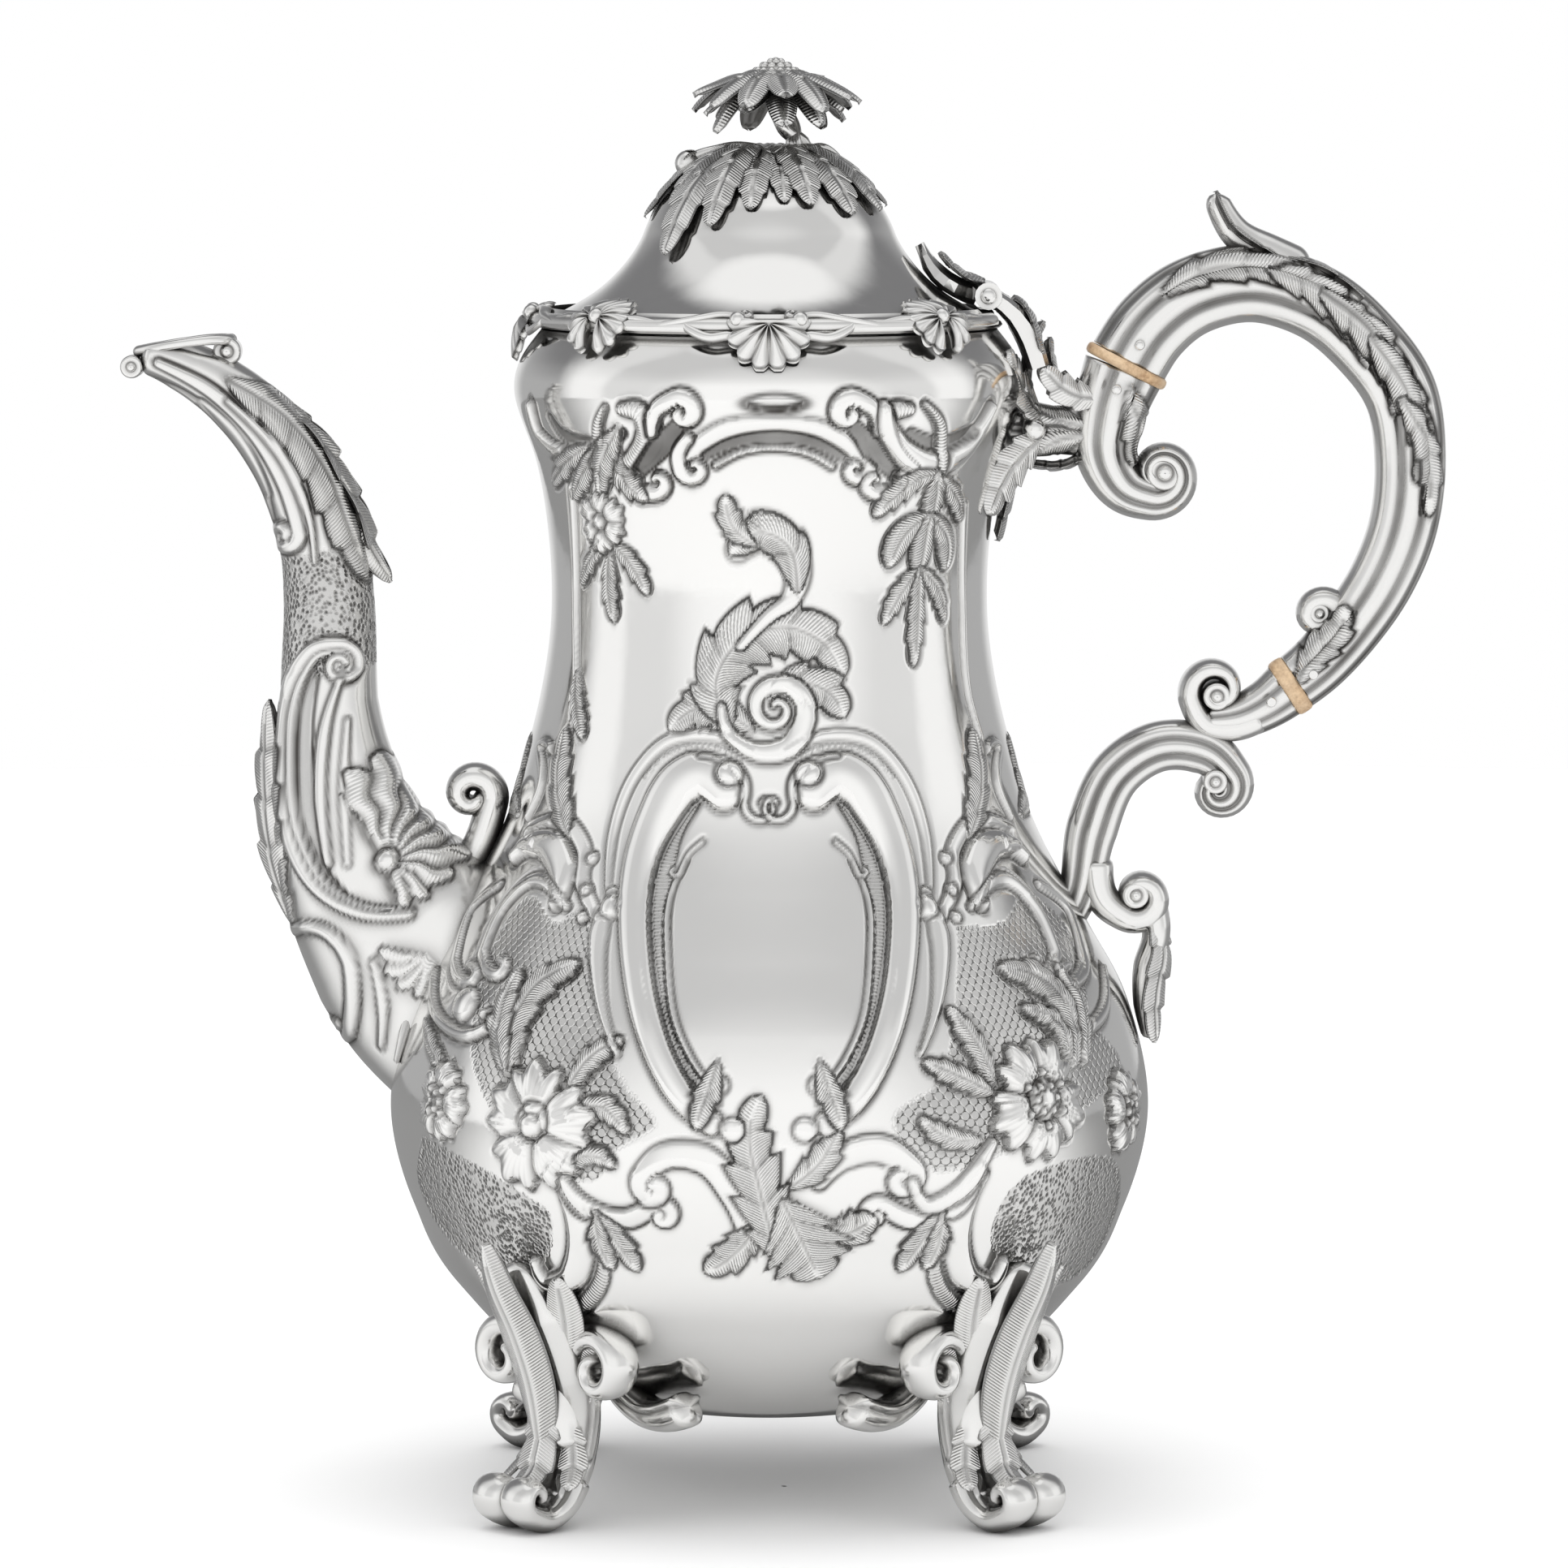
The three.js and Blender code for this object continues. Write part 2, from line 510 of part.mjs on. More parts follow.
const upperSocket = union(
  upperScroll, upperArm, upperSocketPlate, socketHornLeaf, volute(73.8, 188.7, 4.6, 6),
  straightBar(UPPER_RING, -7, -UPPER_RING.halfRing - GAP, 0),
)
  .subtract(straightBar(UPPER_RING, -UPPER_RING.halfRing - GAP, 14, -8))
  .subtract(spigotSpace(UPPER_RING))
  .subtract(rivetHole("upper_socket_rivet"))
  .subtract(bodyEnvelope)
  .subtract(taperedBar([[40.9, 221.4], [44.6, 218.6], [47.4, 214.4], [49.4, 208.6], [49.9, 206.4]], {
    thick: () => 2.9, wide: () => HINGE_HALF_WIDTH + 0.6, steps: 6, square: 0.5,
  }));

const lowerUpperS = taperedBar([[96.2, 149.6], [91.4, 146], [86.4, 143.6], [81.8, 143.6], [79, 146.6]], {
  thick: along([[0, 6], [0.5, 4.6], [1, 3]]), wide: along([[0, 5.6], [0.5, 5.8], [1, 5]]), steps: 10,
});
const lowerC = taperedBar(
  [[84, 132.4], [80, 137], [72, 138.2], [64.8, 134], [60.8, 127], [59.6, 118], [61.6, 109]],
  { thick: along([[0, 2.6], [0.3, 4.6], [0.7, 5.2], [1, 4.6]]), wide: () => 6, steps: 9 },
);
const lowerTail = taperedBar([[70.4, 108], [72.4, 103.4], [70.4, 98], [70, 91.6], [71.6, 84.8]], {
  thick: along([[0, 3], [0.4, 2.8], [1, 1]]), wide: along([[0, 5.4], [0.5, 5], [1, 1.6]]), steps: 8,
});
const lowerSocket = union(
  lowerUpperS, lowerC, lowerTail,
  volute(83.1, 148, 4.8, 5.4), volute(82.5, 132.4, 3.8, 5.6), volute(69.6, 111, 4.6, 5.6),
  taperedBar([[82, 144], [79.4, 137]], { thick: () => 3, wide: () => 5, steps: 1 }),
  taperedBar([[57, 114], [67, 104]], { thick: () => 5.4, wide: () => 7, steps: 2 }),
  straightBar(LOWER_RING, -7, -LOWER_RING.halfRing - GAP, 0),
)
  .subtract(straightBar(LOWER_RING, -LOWER_RING.halfRing - GAP, 14, -8))
  .subtract(spigotSpace(LOWER_RING))
  .subtract(rivetHole("lower_socket_rivet"))
  .subtract(bodyEnvelope);

// ---------------------------------------------------------------- feet
// One foot in its own radial plane (x is the distance from the pot's axis), cut flat at the ground.
const legBar = taperedBar([
  [64, 47], [59.4, 38.6], [55, 30], [50.8, 21], [50.6, 13], [54.6, 7], [61, 4.4],
], {
  thick: along([[0, 1.6], [0.3, 5], [0.6, 5.2], [0.8, 5], [1, 3.4]]),
  wide: along([[0, 3], [0.25, 9], [0.45, 10], [0.7, 6.8], [1, 8]]), steps: 10,
});
const toe = volute(62.4, 5, 5, 8.2);
const footFlank = taperedBar([[34, 20.5], [42, 23], [50, 25.4]], {
  thick: along([[0, 2], [1, 5]]), wide: along([[0, 8], [0.5, 13], [1, 14]]), steps: 5,
});
const footSole = box(FOOT_TOE_RADIUS - 4, FOOT_TOE_RADIUS + 4, -6, 6, 0, 3);
const foot = union(legBar, toe, footFlank, footSole)
  .subtract(bodyEnvelope)
  .subtract(box(20, 90, -30, 30, -20, 0));

// ---------------------------------------------------------------- the assembly
addPiece("body_base", bodyCourse(0, BASE_SEAM_Z), silver());
addPiece("body_belly", bodyCourse(BASE_SEAM_Z, NECK_SEAM_Z).subtract(passage), silver());
addPiece("body_neck", bodyCourse(NECK_SEAM_Z, SEAT_Z + 2 * GAP), silver());
addPiece("mouth_ring", mouthRing, silver());
addPiece("spout", spout, silver());
for (const [place, turn] of Object.entries(FOOT_ANGLES)) {
  addPiece(`foot_${place}`, foot, silver()).rotation.z = THREE.MathUtils.degToRad(turn);
}
addPiece("hinge_bracket", hingeBracket, silver());
addPiece("hinge_pin", hingePin, silver());
addPiece("hinge_leaf", hingeLeaf, silver());
addPiece("lid", lid, silver());
addPiece("lid_bezel", bezel, silver());
addPiece("lid_border", border, silver());
addPiece("finial_stem", stem, silver());
addPiece("finial_flower", flower, silver());
addPiece("finial_flower_centre", flowerCentre, silver());
addPiece("finial_leaf_spray_left", sprayLeft, silver());
addPiece("finial_leaf_spray_right", sprayRight, silver());
addPiece("finial_bud", bud, silver());
addPiece("finial_stud", stud, silver());
addPiece("finial_washer", washer, silver());
addPiece("finial_nut", nut, silver());
addPiece("handle_upper_socket", upperSocket, silver());
addPiece(
  "insulator_upper",
  insulator(UPPER_RING, [rivetHole("upper_socket_rivet"), rivetHole("grip_upper_rivet")]), ivory(),
);
addPiece("handle_grip", grip, silver());
addPiece(
  "insulator_lower",
  insulator(LOWER_RING, [rivetHole("lower_socket_rivet"), rivetHole("grip_lower_rivet")]), ivory(),
);
addPiece("handle_lower_socket", lowerSocket, silver());
for (const [name, rivet] of Object.entries(rivets)) {
  addPiece(name, crossPin(rivet.x, rivet.z, RIVET_RADIUS, rivet.half, 12), silver());
}

export default pot;
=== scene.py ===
import math

import bpy
import numpy as np
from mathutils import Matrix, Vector


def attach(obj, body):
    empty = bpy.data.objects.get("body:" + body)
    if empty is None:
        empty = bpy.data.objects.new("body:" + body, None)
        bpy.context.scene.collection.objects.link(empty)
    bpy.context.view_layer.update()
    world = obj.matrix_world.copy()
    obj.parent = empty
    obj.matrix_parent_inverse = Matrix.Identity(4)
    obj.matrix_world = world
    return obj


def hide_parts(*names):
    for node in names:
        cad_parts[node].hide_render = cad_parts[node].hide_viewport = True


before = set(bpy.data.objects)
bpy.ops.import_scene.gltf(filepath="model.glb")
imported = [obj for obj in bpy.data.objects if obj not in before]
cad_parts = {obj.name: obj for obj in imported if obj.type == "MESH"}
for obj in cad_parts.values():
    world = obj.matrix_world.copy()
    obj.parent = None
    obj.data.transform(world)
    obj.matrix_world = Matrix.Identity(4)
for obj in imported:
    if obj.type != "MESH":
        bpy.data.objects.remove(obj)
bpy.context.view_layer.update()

# Lengths are in millimetres from the pot's own axis, with z up from the floor.
# The axis stands at POT_AXIS_X in the row frame, and the spout points to -x.
MM = 0.001
POT_AXIS_X = -2.7
TAU = 2 * math.pi
SOFT_EDGE = 0.35         # the width over which a raised shape fades into the sheet
HATCH_PITCH = 0.7        # from one engraved line to the next along a moulding
VEIN_PITCH = 0.62        # the same along a leaf
CUT_DEPTH = 0.22         # of the line cut round a raised shape
LINE_STEP = 0.5          # between the points of a drawn line
KEPT = 0.3               # the share of earlier ornament that shows through later ornament
MOST_PAIRS = 3000000     # the distances worked out at one time


# ---------------------------------------------------------------- curves

def even(line, step):
    """The line again, with its points evenly spaced about one step apart."""
    line = np.asarray(line, float)
    along = np.concatenate([[0], np.cumsum(np.linalg.norm(np.diff(line, axis=0), axis=1))])
    at = np.linspace(0, along[-1], max(4, int(round(along[-1] / step)) + 1))
    return np.stack([np.interp(at, along, line[:, k]) for k in range(line.shape[1])], 1)


def smooth_path(points, step=LINE_STEP):
    """A smooth curve through the points, in two or three dimensions."""
    p = np.asarray(points, float)
    if len(p) == 2:
        return even(p, step)
    knot = np.concatenate([[0], np.cumsum(np.linalg.norm(np.diff(p, axis=0), axis=1) ** 0.5)])
    gap = np.diff(knot)[:, None]
    slope = np.diff(p, axis=0) / gap
    tangent = np.empty_like(p)
    tangent[1:-1] = (slope[:-1] * gap[1:] + slope[1:] * gap[:-1]) / (gap[1:] + gap[:-1])
    tangent[0] = 1.5 * slope[0] - 0.5 * tangent[1]
    tangent[-1] = 1.5 * slope[-1] - 0.5 * tangent[-2]
    u = np.linspace(0, 1, 24, endpoint=False)[:, None]
    spans = [
        (1 + 2 * u) * (1 - u) ** 2 * p[i] + u * (1 - u) ** 2 * gap[i] * tangent[i]
        + u * u * (3 - 2 * u) * p[i + 1] + u * u * (u - 1) * gap[i] * tangent[i + 1]
        for i in range(len(p) - 1)
    ]
    return even(np.vstack(spans + [p[-1:]]), step)


def curled(points, radius, side=1, turns=1.25, eye=0.2):
    """A path carried on into a spiral. Side 1 turns to the left and -1 to the right."""
    path = smooth_path(points)
    last = path[-1] - path[-3]
    last /= np.linalg.norm(last)
    inward = side * np.array([-last[1], last[0]])
    centre = path[-1] + inward * radius
    start = math.atan2(-inward[1], -inward[0])
    angle = np.linspace(0, TAU * turns, int(40 * turns) + 2)[1:]
    reach = radius * (1 - (1 - eye) * angle / angle[-1])
    turn = np.stack([reach * np.cos(start + side * angle), reach * np.sin(start + side * angle)], 1)
    return even(np.vstack([path, centre + turn]), LINE_STEP)


def spread(values, share):
    """Values along a length, evenly spaced or as (share, value) pairs, read at a share of it."""
    values = np.atleast_1d(np.asarray(values, float))
    if values.ndim == 2:
        return np.interp(share, values[:, 0], values[:, 1])
    return np.interp(share, np.linspace(0, 1, len(values)), values)


def ease(x):
    """A smooth step from 0 to 1."""
    x = np.clip(x, 0, 1)
    return x * x * (3 - 2 * x)


# ---------------------------------------------------------------- relief

LEAF_HATCH = 0.85        # how strongly a leaf's veins are engraved
SHELL_WAVE = 0.12        # how far a shell's ribs waver, as a share of a rib
GROUND_DARK = 0.3        # the tarnish in a sunk ground
RECESS_SHADE = 0.7        # the most painted shade beside raised ornament
RECESS_DEPTH = 0.4       # how far below its surroundings a place that dark lies
RECESS_ROUNDS = 8        # how far those surroundings reach, in rounds of averaging


def lobe_wave(share, lobes):
    """1 at the tips of a leaf's lobes and 0 in the notches, with the tips swept forward."""
    if not lobes:
        return np.ones_like(share)
    cell = (lobes * share ** 0.9) % 1
    return np.where(cell < 0.82, (cell / 0.82) ** 0.75, (1 - cell) / 0.18)


class Relief:
    """Raised and cut ornament over the points of a surface.

    The chart gives each point two coordinates, and the metric turns a step in them into
    millimetres. Later ornament lies over earlier ornament.
    """

    def __init__(self, chart, metric=None, place=None):
        self.chart = np.asarray(chart, float)
        self.metric = np.ones_like(self.chart) if metric is None else np.asarray(metric, float)
        self.place = place or (lambda line: np.asarray(line, float))
        count = len(self.chart)
        self.height = np.zeros(count)
        self.dark = np.zeros(count)
        self.phase = np.zeros(count)
        self.hatch = np.zeros(count)
        self.scales = np.zeros(count)
        self.stipple = np.zeros(count)

    def near(self, line, reach):
        """Points near a line: their numbers, sideways and lengthwise distances, and its length."""
        path = self.place(line if isinstance(line, np.ndarray) else smooth_path(line))
        low, high = path.min(0), path.max(0)
        pad = reach / self.metric
        index = np.nonzero(np.all((self.chart > low - pad) & (self.chart < high + pad), axis=1))[0]
        if len(index) == 0:
            return index, np.zeros(0), np.zeros(0), 1.0
        mean = self.metric[index].mean(0)
        run = np.concatenate([[0], np.cumsum(np.linalg.norm(np.diff(path, axis=0) * mean, axis=1))])
        tangent = np.gradient(path, axis=0)
        side, along = np.empty(len(index)), np.empty(len(index))
        for part in np.array_split(np.arange(len(index)), len(index) * len(path) // MOST_PAIRS + 1):
            at = index[part]
            step = (self.chart[at][:, None, :] - path[None]) * self.metric[at][:, None, :]
            k = (step ** 2).sum(2).argmin(1)
            step = step[np.arange(len(k)), k]
            t = tangent[k] * self.metric[at]
            t /= np.linalg.norm(t, axis=1)[:, None] + 1e-9
            side[part] = t[:, 0] * step[:, 1] - t[:, 1] * step[:, 0]
            along[part] = run[k] + (t * step).sum(1)
        return index, side, along, run[-1]

    def around(self, centre, reach):
        """Points in a box round a place: their numbers, and their steps from it in millimetres."""
        step = (self.chart - self.place([centre])[0]) * self.metric
        index = np.nonzero((np.abs(step) < reach).all(1))[0]
        return index, step[index]

    def lay(self, index, cover, height, keep=0.3, dark=0.0, hatch=0.0, phase=0.0, stipple=0.0):
        """Lays a shape over what is there; cover is 1 inside it and 0 outside."""
        bare = 1 - cover
        self.height[index] = self.height[index] * (bare + keep * cover) + height * cover
        self.dark[index] = self.dark[index] * bare + dark * cover
        self.hatch[index] = self.hatch[index] * bare + hatch * cover
        self.scales[index] *= bare
        self.stipple[index] = self.stipple[index] * bare + stipple * cover
        self.phase[index] = np.where(cover > 0.3, phase, self.phase[index])

    def line(self, index, gap, width, depth, dark):
        """A cut line where gap, a distance in millimetres, is zero."""
        mark = np.exp(-(gap / (1.25 * width)) ** 2)
        dark = min(1.0, 1.2 * dark)
        self.height[index] -= depth * mark
        self.dark[index] = np.maximum(self.dark[index], dark * mark)

    def ridge(self, line, width, height, profile="round", keep=KEPT, edge=0.6, dark=0.0, milled=0.0):
        """A moulding along a line, with a dark cut on each side of it.

        The profile is round, flat, hollow, lean (higher on one side) or step (a high and a low bead).
        """
        width = np.atleast_1d(np.asarray(width, float))
        index, off, along, length = self.near(line, width.max() / 2 + 1.6)
        if len(index) == 0:
            return
        share = along / length
        half = spread(width, np.clip(share, 0, 1)) / 2
        over = np.maximum(0, np.maximum(-along, along - length))
        distance = np.hypot(off, over)
        d, v = np.clip(distance / half, 0, 1), off / half
        dome = np.sqrt(np.clip(1 - d * d, 0, 1))
        # painted shade: inner darkens the middle of a hollow moulding and the gap between a step's beads, and
        # dark darkens the whole moulding, mostly a sunk one
        inner = 0.0
        if profile == "round":
            shape = dome
        elif profile == "flat":
            shape = 1 - d ** 5
        elif profile == "hollow":
            shape = (1 - d ** 8) * (0.42 + 0.58 * np.clip(v, -1, 1) ** 2)
            inner = 0.3 * (1 - np.abs(v)) ** 2
        elif profile == "lean":
            shape = dome ** 0.8 * (0.68 + 0.32 * np.clip(v, -1, 1))
        elif profile == "step":
            high = np.sqrt(np.clip(1 - ((v - 0.34) / 0.66) ** 2, 0, 1))
            low = np.sqrt(np.clip(1 - ((v + 0.66) / 0.36) ** 2, 0, 1))
            shape = np.maximum(high, 0.6 * low) * np.minimum(1, 3 * dome)
            inner = 0.75 * np.exp(-((v + 0.33) * half / 0.3) ** 2)
        cover = ease((half - distance) / SOFT_EDGE + 0.5)
        self.lay(index, cover, height * shape, keep, dark=np.maximum(inner, dark), hatch=milled,
                 phase=along / HATCH_PITCH)
        self.line(index, distance - half - 0.15, 0.34, CUT_DEPTH, edge)

    def beads(self, line, pitch, radius, height):
        """A row of round punch marks standing up along a line."""
        index, off, along, length = self.near(line, radius * 2)
        count = max(1, int(length / pitch))
        cell = (along / length * count) % 1 - 0.5
        d = np.hypot(off, cell * length / count) / radius
        self.height[index] += height * np.sqrt(np.clip(1 - d * d, 0, 1)) * (along > 0) * (along < length)
        ring = np.clip(1.6 - d, 0, 1) * np.clip(d, 0, 1) ** 2 * (along > 0) * (along < length)
        self.dark[index] = np.maximum(self.dark[index], 0.8 * ring)

    def leaf(self, line, half, height, lobes=4, lean=0.9, cut=0.3, edge=0.75, blunt=0.6):
        """A leaf along its midrib, with lobes and veins that lean to the tip."""
        index, off, along, length = self.near(line, half * 1.5 + 1.5)
        if len(index) == 0:
            return
        side = np.abs(off)
        back = along - lean * side * (1 - np.clip(along / length, 0, 1) ** 3)
        share = np.clip(back / length, 0, 1)
        outline = 1.95 * (share + 0.02) ** 0.42 * (1 - share) ** blunt
        wave = lobe_wave(share, lobes)
        width = half * outline * (1 - cut * (1 - wave)) + 1e-3
        inside = (back > -0.6) & (back < length)
        beyond = np.where(inside, 0.0, np.maximum(-back - 0.6, back - length) + 0.3)
        gap = np.where(inside, (side - width) * 0.72, np.hypot(beyond, np.maximum(side - 0.3, 0)))
        d = np.clip(side / width, 0, 1.2)
        dome = np.sqrt(np.clip(1 - d * d, 0, 1))
        puff = 0.84 + 0.16 * wave
        rib = np.exp(-(side / 0.36) ** 2)
        shape = (0.3 + 0.7 * dome) * puff - 0.2 * rib
        vein = (1 - wave) ** 5 * np.clip(side / 1.2, 0, 1)
        cover = ease(-gap / SOFT_EDGE + 0.5)
        self.lay(index, cover, height * shape, KEPT, dark=0.75 * vein + 0.6 * rib * (share < 0.85),
                 hatch=LEAF_HATCH * np.clip(side / 0.8, 0, 1), phase=back / VEIN_PITCH)
        self.line(index, gap - 0.12, 0.32, CUT_DEPTH, edge)

    def flower(self, centre, radius, height, petals=5, core=0.26, turn=0.0, ruffle=0.07, seeds=0):
        """An open flower of overlapping petals round a domed centre."""
        index, step = self.around(centre, radius * 1.3)
        r, angle = np.hypot(step[:, 0], step[:, 1]), np.arctan2(step[:, 1], step[:, 0]) + turn
        cell = (angle / TAU * petals) % 1 * 2 - 1
        reach = radius * (1 - 0.15 * np.abs(cell) ** 3 + ruffle * np.sin(angle * petals * 2.6 + 1.0)
                          + 0.6 * ruffle * np.sin(angle * 3 + 0.5))
        d = np.clip(r / reach, 0, 1.2)
        cup = 0.35 + 0.75 * np.sin(math.pi * np.clip(0.12 + 0.62 * d, 0, 1)) * (1 - 0.3 * cell ** 2)
        cup *= np.sqrt(np.clip(1 - d ** 8, 0, 1))
        seam = np.exp(-((1 - np.abs(cell)) * r * math.pi / petals / 0.42) ** 2) * (r > core * radius)
        cover = ease((reach - r) / 0.4 + 0.5)
        self.lay(index, cover, height * (cup - 0.25 * seam), 0.35, dark=0.7 * seam,
                 hatch=0.3 * np.clip(d * 2 - 0.9, 0, 1), phase=angle / TAU * petals * 9,
                 stipple=0.9 * np.clip(1.9 - r / (core * radius), 0, 1) * (seeds > 0 or core < 0.27))
        self.line(index, r - reach - 0.15, 0.36, 0.3, 0.75)
        middle = core * radius
        dome = np.sqrt(np.clip(1 - (r / middle) ** 2, 0, 1))
        self.lay(index, ease((middle - r) / 0.3 + 0.5), height * (0.75 + 0.55 * dome), 0.0)
        self.line(index, r - middle - 0.1, 0.4, 0.45, 0.9)
        for k in range(seeds):
            ring = middle * (1.25 if k % 2 else 0.66)
            spot = (ring * math.cos(TAU * k / seeds), ring * math.sin(TAU * k / seeds))
            away = np.hypot(step[:, 0] - spot[0], step[:, 1] - spot[1])
            bead = np.sqrt(np.clip(1 - (away / 0.75) ** 2, 0, 1))
            self.lay(index, ease((0.75 - away) / 0.25 + 0.5), height * (0.9 + 0.4 * bead), 0.0)
            self.line(index, away - 0.85, 0.25, 0.15, 0.8)

    def shell(self, centre, radius, start, end, ribs, height, edge=0.8):
        """A fan of ribs round a centre, between two directions in degrees."""
        index, step = self.around(centre, np.max(radius) * 1.2 + 1)
        r = np.hypot(step[:, 0], step[:, 1])
        share = (np.degrees(np.arctan2(step[:, 1], step[:, 0])) - start) % 360 / (end - start)
        inside = (share >= 0) & (share <= 1)
        bent = share + SHELL_WAVE / ribs * np.sin(r * 0.9)
        rib = np.abs(np.sin(math.pi * ribs * bent))
        reach = spread(radius, np.clip(share, 0, 1)) * (0.82 + 0.18 * rib)
        gap = np.where(inside, r - reach, 2.0)
        d = np.clip(r / reach, 0, 1)
        shape = (0.3 + 0.7 * rib ** 0.7) * np.sin(math.pi * np.clip(0.18 + 0.7 * d, 0, 1))
        self.lay(index, ease(-gap / SOFT_EDGE + 0.5), height * shape, KEPT,
                 dark=0.85 * (1 - rib) ** 2 * np.clip(d * 2, 0, 1), hatch=0.3, phase=r / HATCH_PITCH)
        self.line(index, gap - 0.1, 0.34, 0.2, edge)

    def boss(self, centre, radius, height, edge=0.75, keep=0.2):
        """A plain dome, round or oval."""
        radius = np.broadcast_to(np.asarray(radius, float), (2,))
        index, step = self.around(centre, radius * 1.5 + 1.5)
        d = np.hypot(step[:, 0] / radius[0], step[:, 1] / radius[1])
        gap = (d - 1) * radius.min()
        self.lay(index, ease(-gap / 0.3 + 0.5), height * np.sqrt(np.clip(1 - d * d, 0, 1)), keep)
        self.line(index, gap - 0.15, 0.34, CUT_DEPTH, edge)

    def ground(self, corners, kind, depth=0.35):
        """A sunk ground inside a smooth closed outline, chased with scales or stippled."""
        edge = self.place(smooth_path(list(corners) + [corners[0]], 1.0))
        x, y = self.chart[:, 0], self.chart[:, 1]
        low, high = edge.min(0), edge.max(0)
        index = np.nonzero((x > low[0]) & (x < high[0]) & (y > low[1]) & (y < high[1]))[0]
        odd = np.zeros(len(index), bool)
        for a, b in zip(edge, np.roll(edge, -1, 0)):
            crosses = (a[1] > y[index]) != (b[1] > y[index])
            at = a[0] + (y[index] - a[1]) * (b[0] - a[0]) / (b[1] - a[1] + 1e-12)
            odd ^= crosses & (x[index] < at)
        index = index[odd]
        gaps = np.full(len(index), 9.0)
        for part in np.array_split(np.arange(len(index)), len(index) * len(edge) // MOST_PAIRS + 1):
            step = (self.chart[index[part]][:, None] - edge[None]) * self.metric[index[part]][:, None]
            gaps[part] = np.sqrt((step ** 2).sum(2).min(1))
        cover = ease(gaps / 0.9)
        self.lay(index, cover, -depth, 0.0, dark=GROUND_DARK)
        (self.scales if kind == "scales" else self.stipple)[index] = cover

    def paint_recess_shade(self, rows, columns):
        """Paints shade into the low places close beside raised ornament."""
        high = self.height.reshape(rows, columns)
        soft = high
        for _ in range(RECESS_ROUNDS):
            soft = (soft + np.roll(soft, 1, 0) + np.roll(soft, -1, 0) + np.roll(soft, 1, 1)
                    + np.roll(soft, -1, 1)) / 5
        low = np.clip((soft - high) / RECESS_DEPTH, 0, 1).ravel()
        self.dark = np.maximum(self.dark, RECESS_SHADE * low ** 0.8)

    def attributes(self, chart=None):
        """What the materials read at each point."""
        chart = self.chart if chart is None else chart
        return {
            "look": np.stack([np.clip(self.dark, 0, 1), self.hatch, self.stipple], 1),
            "pattern": np.stack([self.phase, self.scales, np.zeros_like(self.phase)], 1),
            "chart": np.stack([chart[:, 0], chart[:, 1], np.zeros(len(chart))], 1),
        }


# ---------------------------------------------------------------- meshes

def grid_faces(rows, columns, closed=False):
    """Quads over a grid of points stored row by row; closed joins the last column to the first."""
    r = np.arange(rows - 1)[:, None]
    c = np.arange(columns if closed else columns - 1)[None]
    nxt = (c + 1) % columns
    return np.stack([r * columns + c, r * columns + nxt, (r + 1) * columns + nxt,
                     (r + 1) * columns + c], -1).reshape(-1, 4)


def grid_normals(points, closed=False):
    """Unit normals of a grid of points, rows by columns by 3."""
    if closed:
        ring = np.concatenate([points[:, -1:], points, points[:, :1]], 1)
        across = ring[:, 2:] - ring[:, :-2]
    else:
        across = np.gradient(points, axis=1)
    normal = np.cross(across, np.gradient(points, axis=0))
    return normal / (np.linalg.norm(normal, axis=2, keepdims=True) + 1e-12)


def facing(faces, points, way, closed=False):
    """The faces, turned over where needed so that the grid's normals point a given way."""
    return faces if (grid_normals(points, closed) * way).sum() > 0 else faces[:, ::-1]


def lathe(r, z, angle):
    """A grid of points round the upright axis."""
    return np.stack(np.broadcast_arrays(r * np.cos(angle), r * np.sin(angle), z), -1)


def round_angles(count):
    """Evenly spaced angles for a full turn."""
    return np.arange(count) / count * TAU


def tones(dark, rows, columns, hatch=0.0):
    """The look of a grid of points that is darkened and hatched in places."""
    look = np.zeros((rows, columns, 3))
    look[..., 0] = dark
    look[..., 1] = hatch
    return {"look": look.reshape(-1, 3)}


class Piece:
    """Gathers surfaces into one mesh."""

    def __init__(self):
        self.points, self.faces, self.extra, self.normals, self.count = [], [], [], [], 0

    def add(self, points, faces, extra=None, normals=None):
        """Adds a surface, with what its material reads and, if given, its own normals."""
        points = np.asarray(points, float).reshape(-1, 3)
        self.points.append(points)
        self.faces += (np.asarray(faces) + self.count).tolist()
        self.extra.append(extra or {})
        self.normals.append(normals)
        self.count += len(points)
        return self

    def make(self, name, material, body, slot, stands_for=()):
        """Makes the mesh an object that rides a body and stands for CAD nodes."""
        mesh = bpy.data.meshes.new(name)
        points = (np.vstack(self.points) + [POT_AXIS_X, 0, 0]) * MM
        mesh.from_pydata(points, [], self.faces)
        for key in ("look", "pattern", "chart"):
            layer = mesh.attributes.new(key, "FLOAT_VECTOR", "POINT")
            values = [e.get(key, np.zeros((len(p), 3))) for e, p in zip(self.extra, self.points)]
            layer.data.foreach_set("vector", np.vstack(values).astype(np.float32).ravel())
        mesh.polygons.foreach_set("use_smooth", np.ones(len(mesh.polygons), bool))
        mesh.update()
        if all(n is not None for n in self.normals):
            mesh.normals_split_custom_set_from_vertices(np.vstack(self.normals).tolist())
        mesh.materials.append(material)
        piece = bpy.data.objects.new(name, mesh)
        bpy.context.scene.collection.objects.link(piece)
        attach(piece, body)
        if stands_for:
            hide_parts(*stands_for)


def tangents(path):
    """Unit directions along a path."""
    t = np.gradient(path, axis=0)
    return t / (np.linalg.norm(t, axis=1, keepdims=True) + 1e-12)


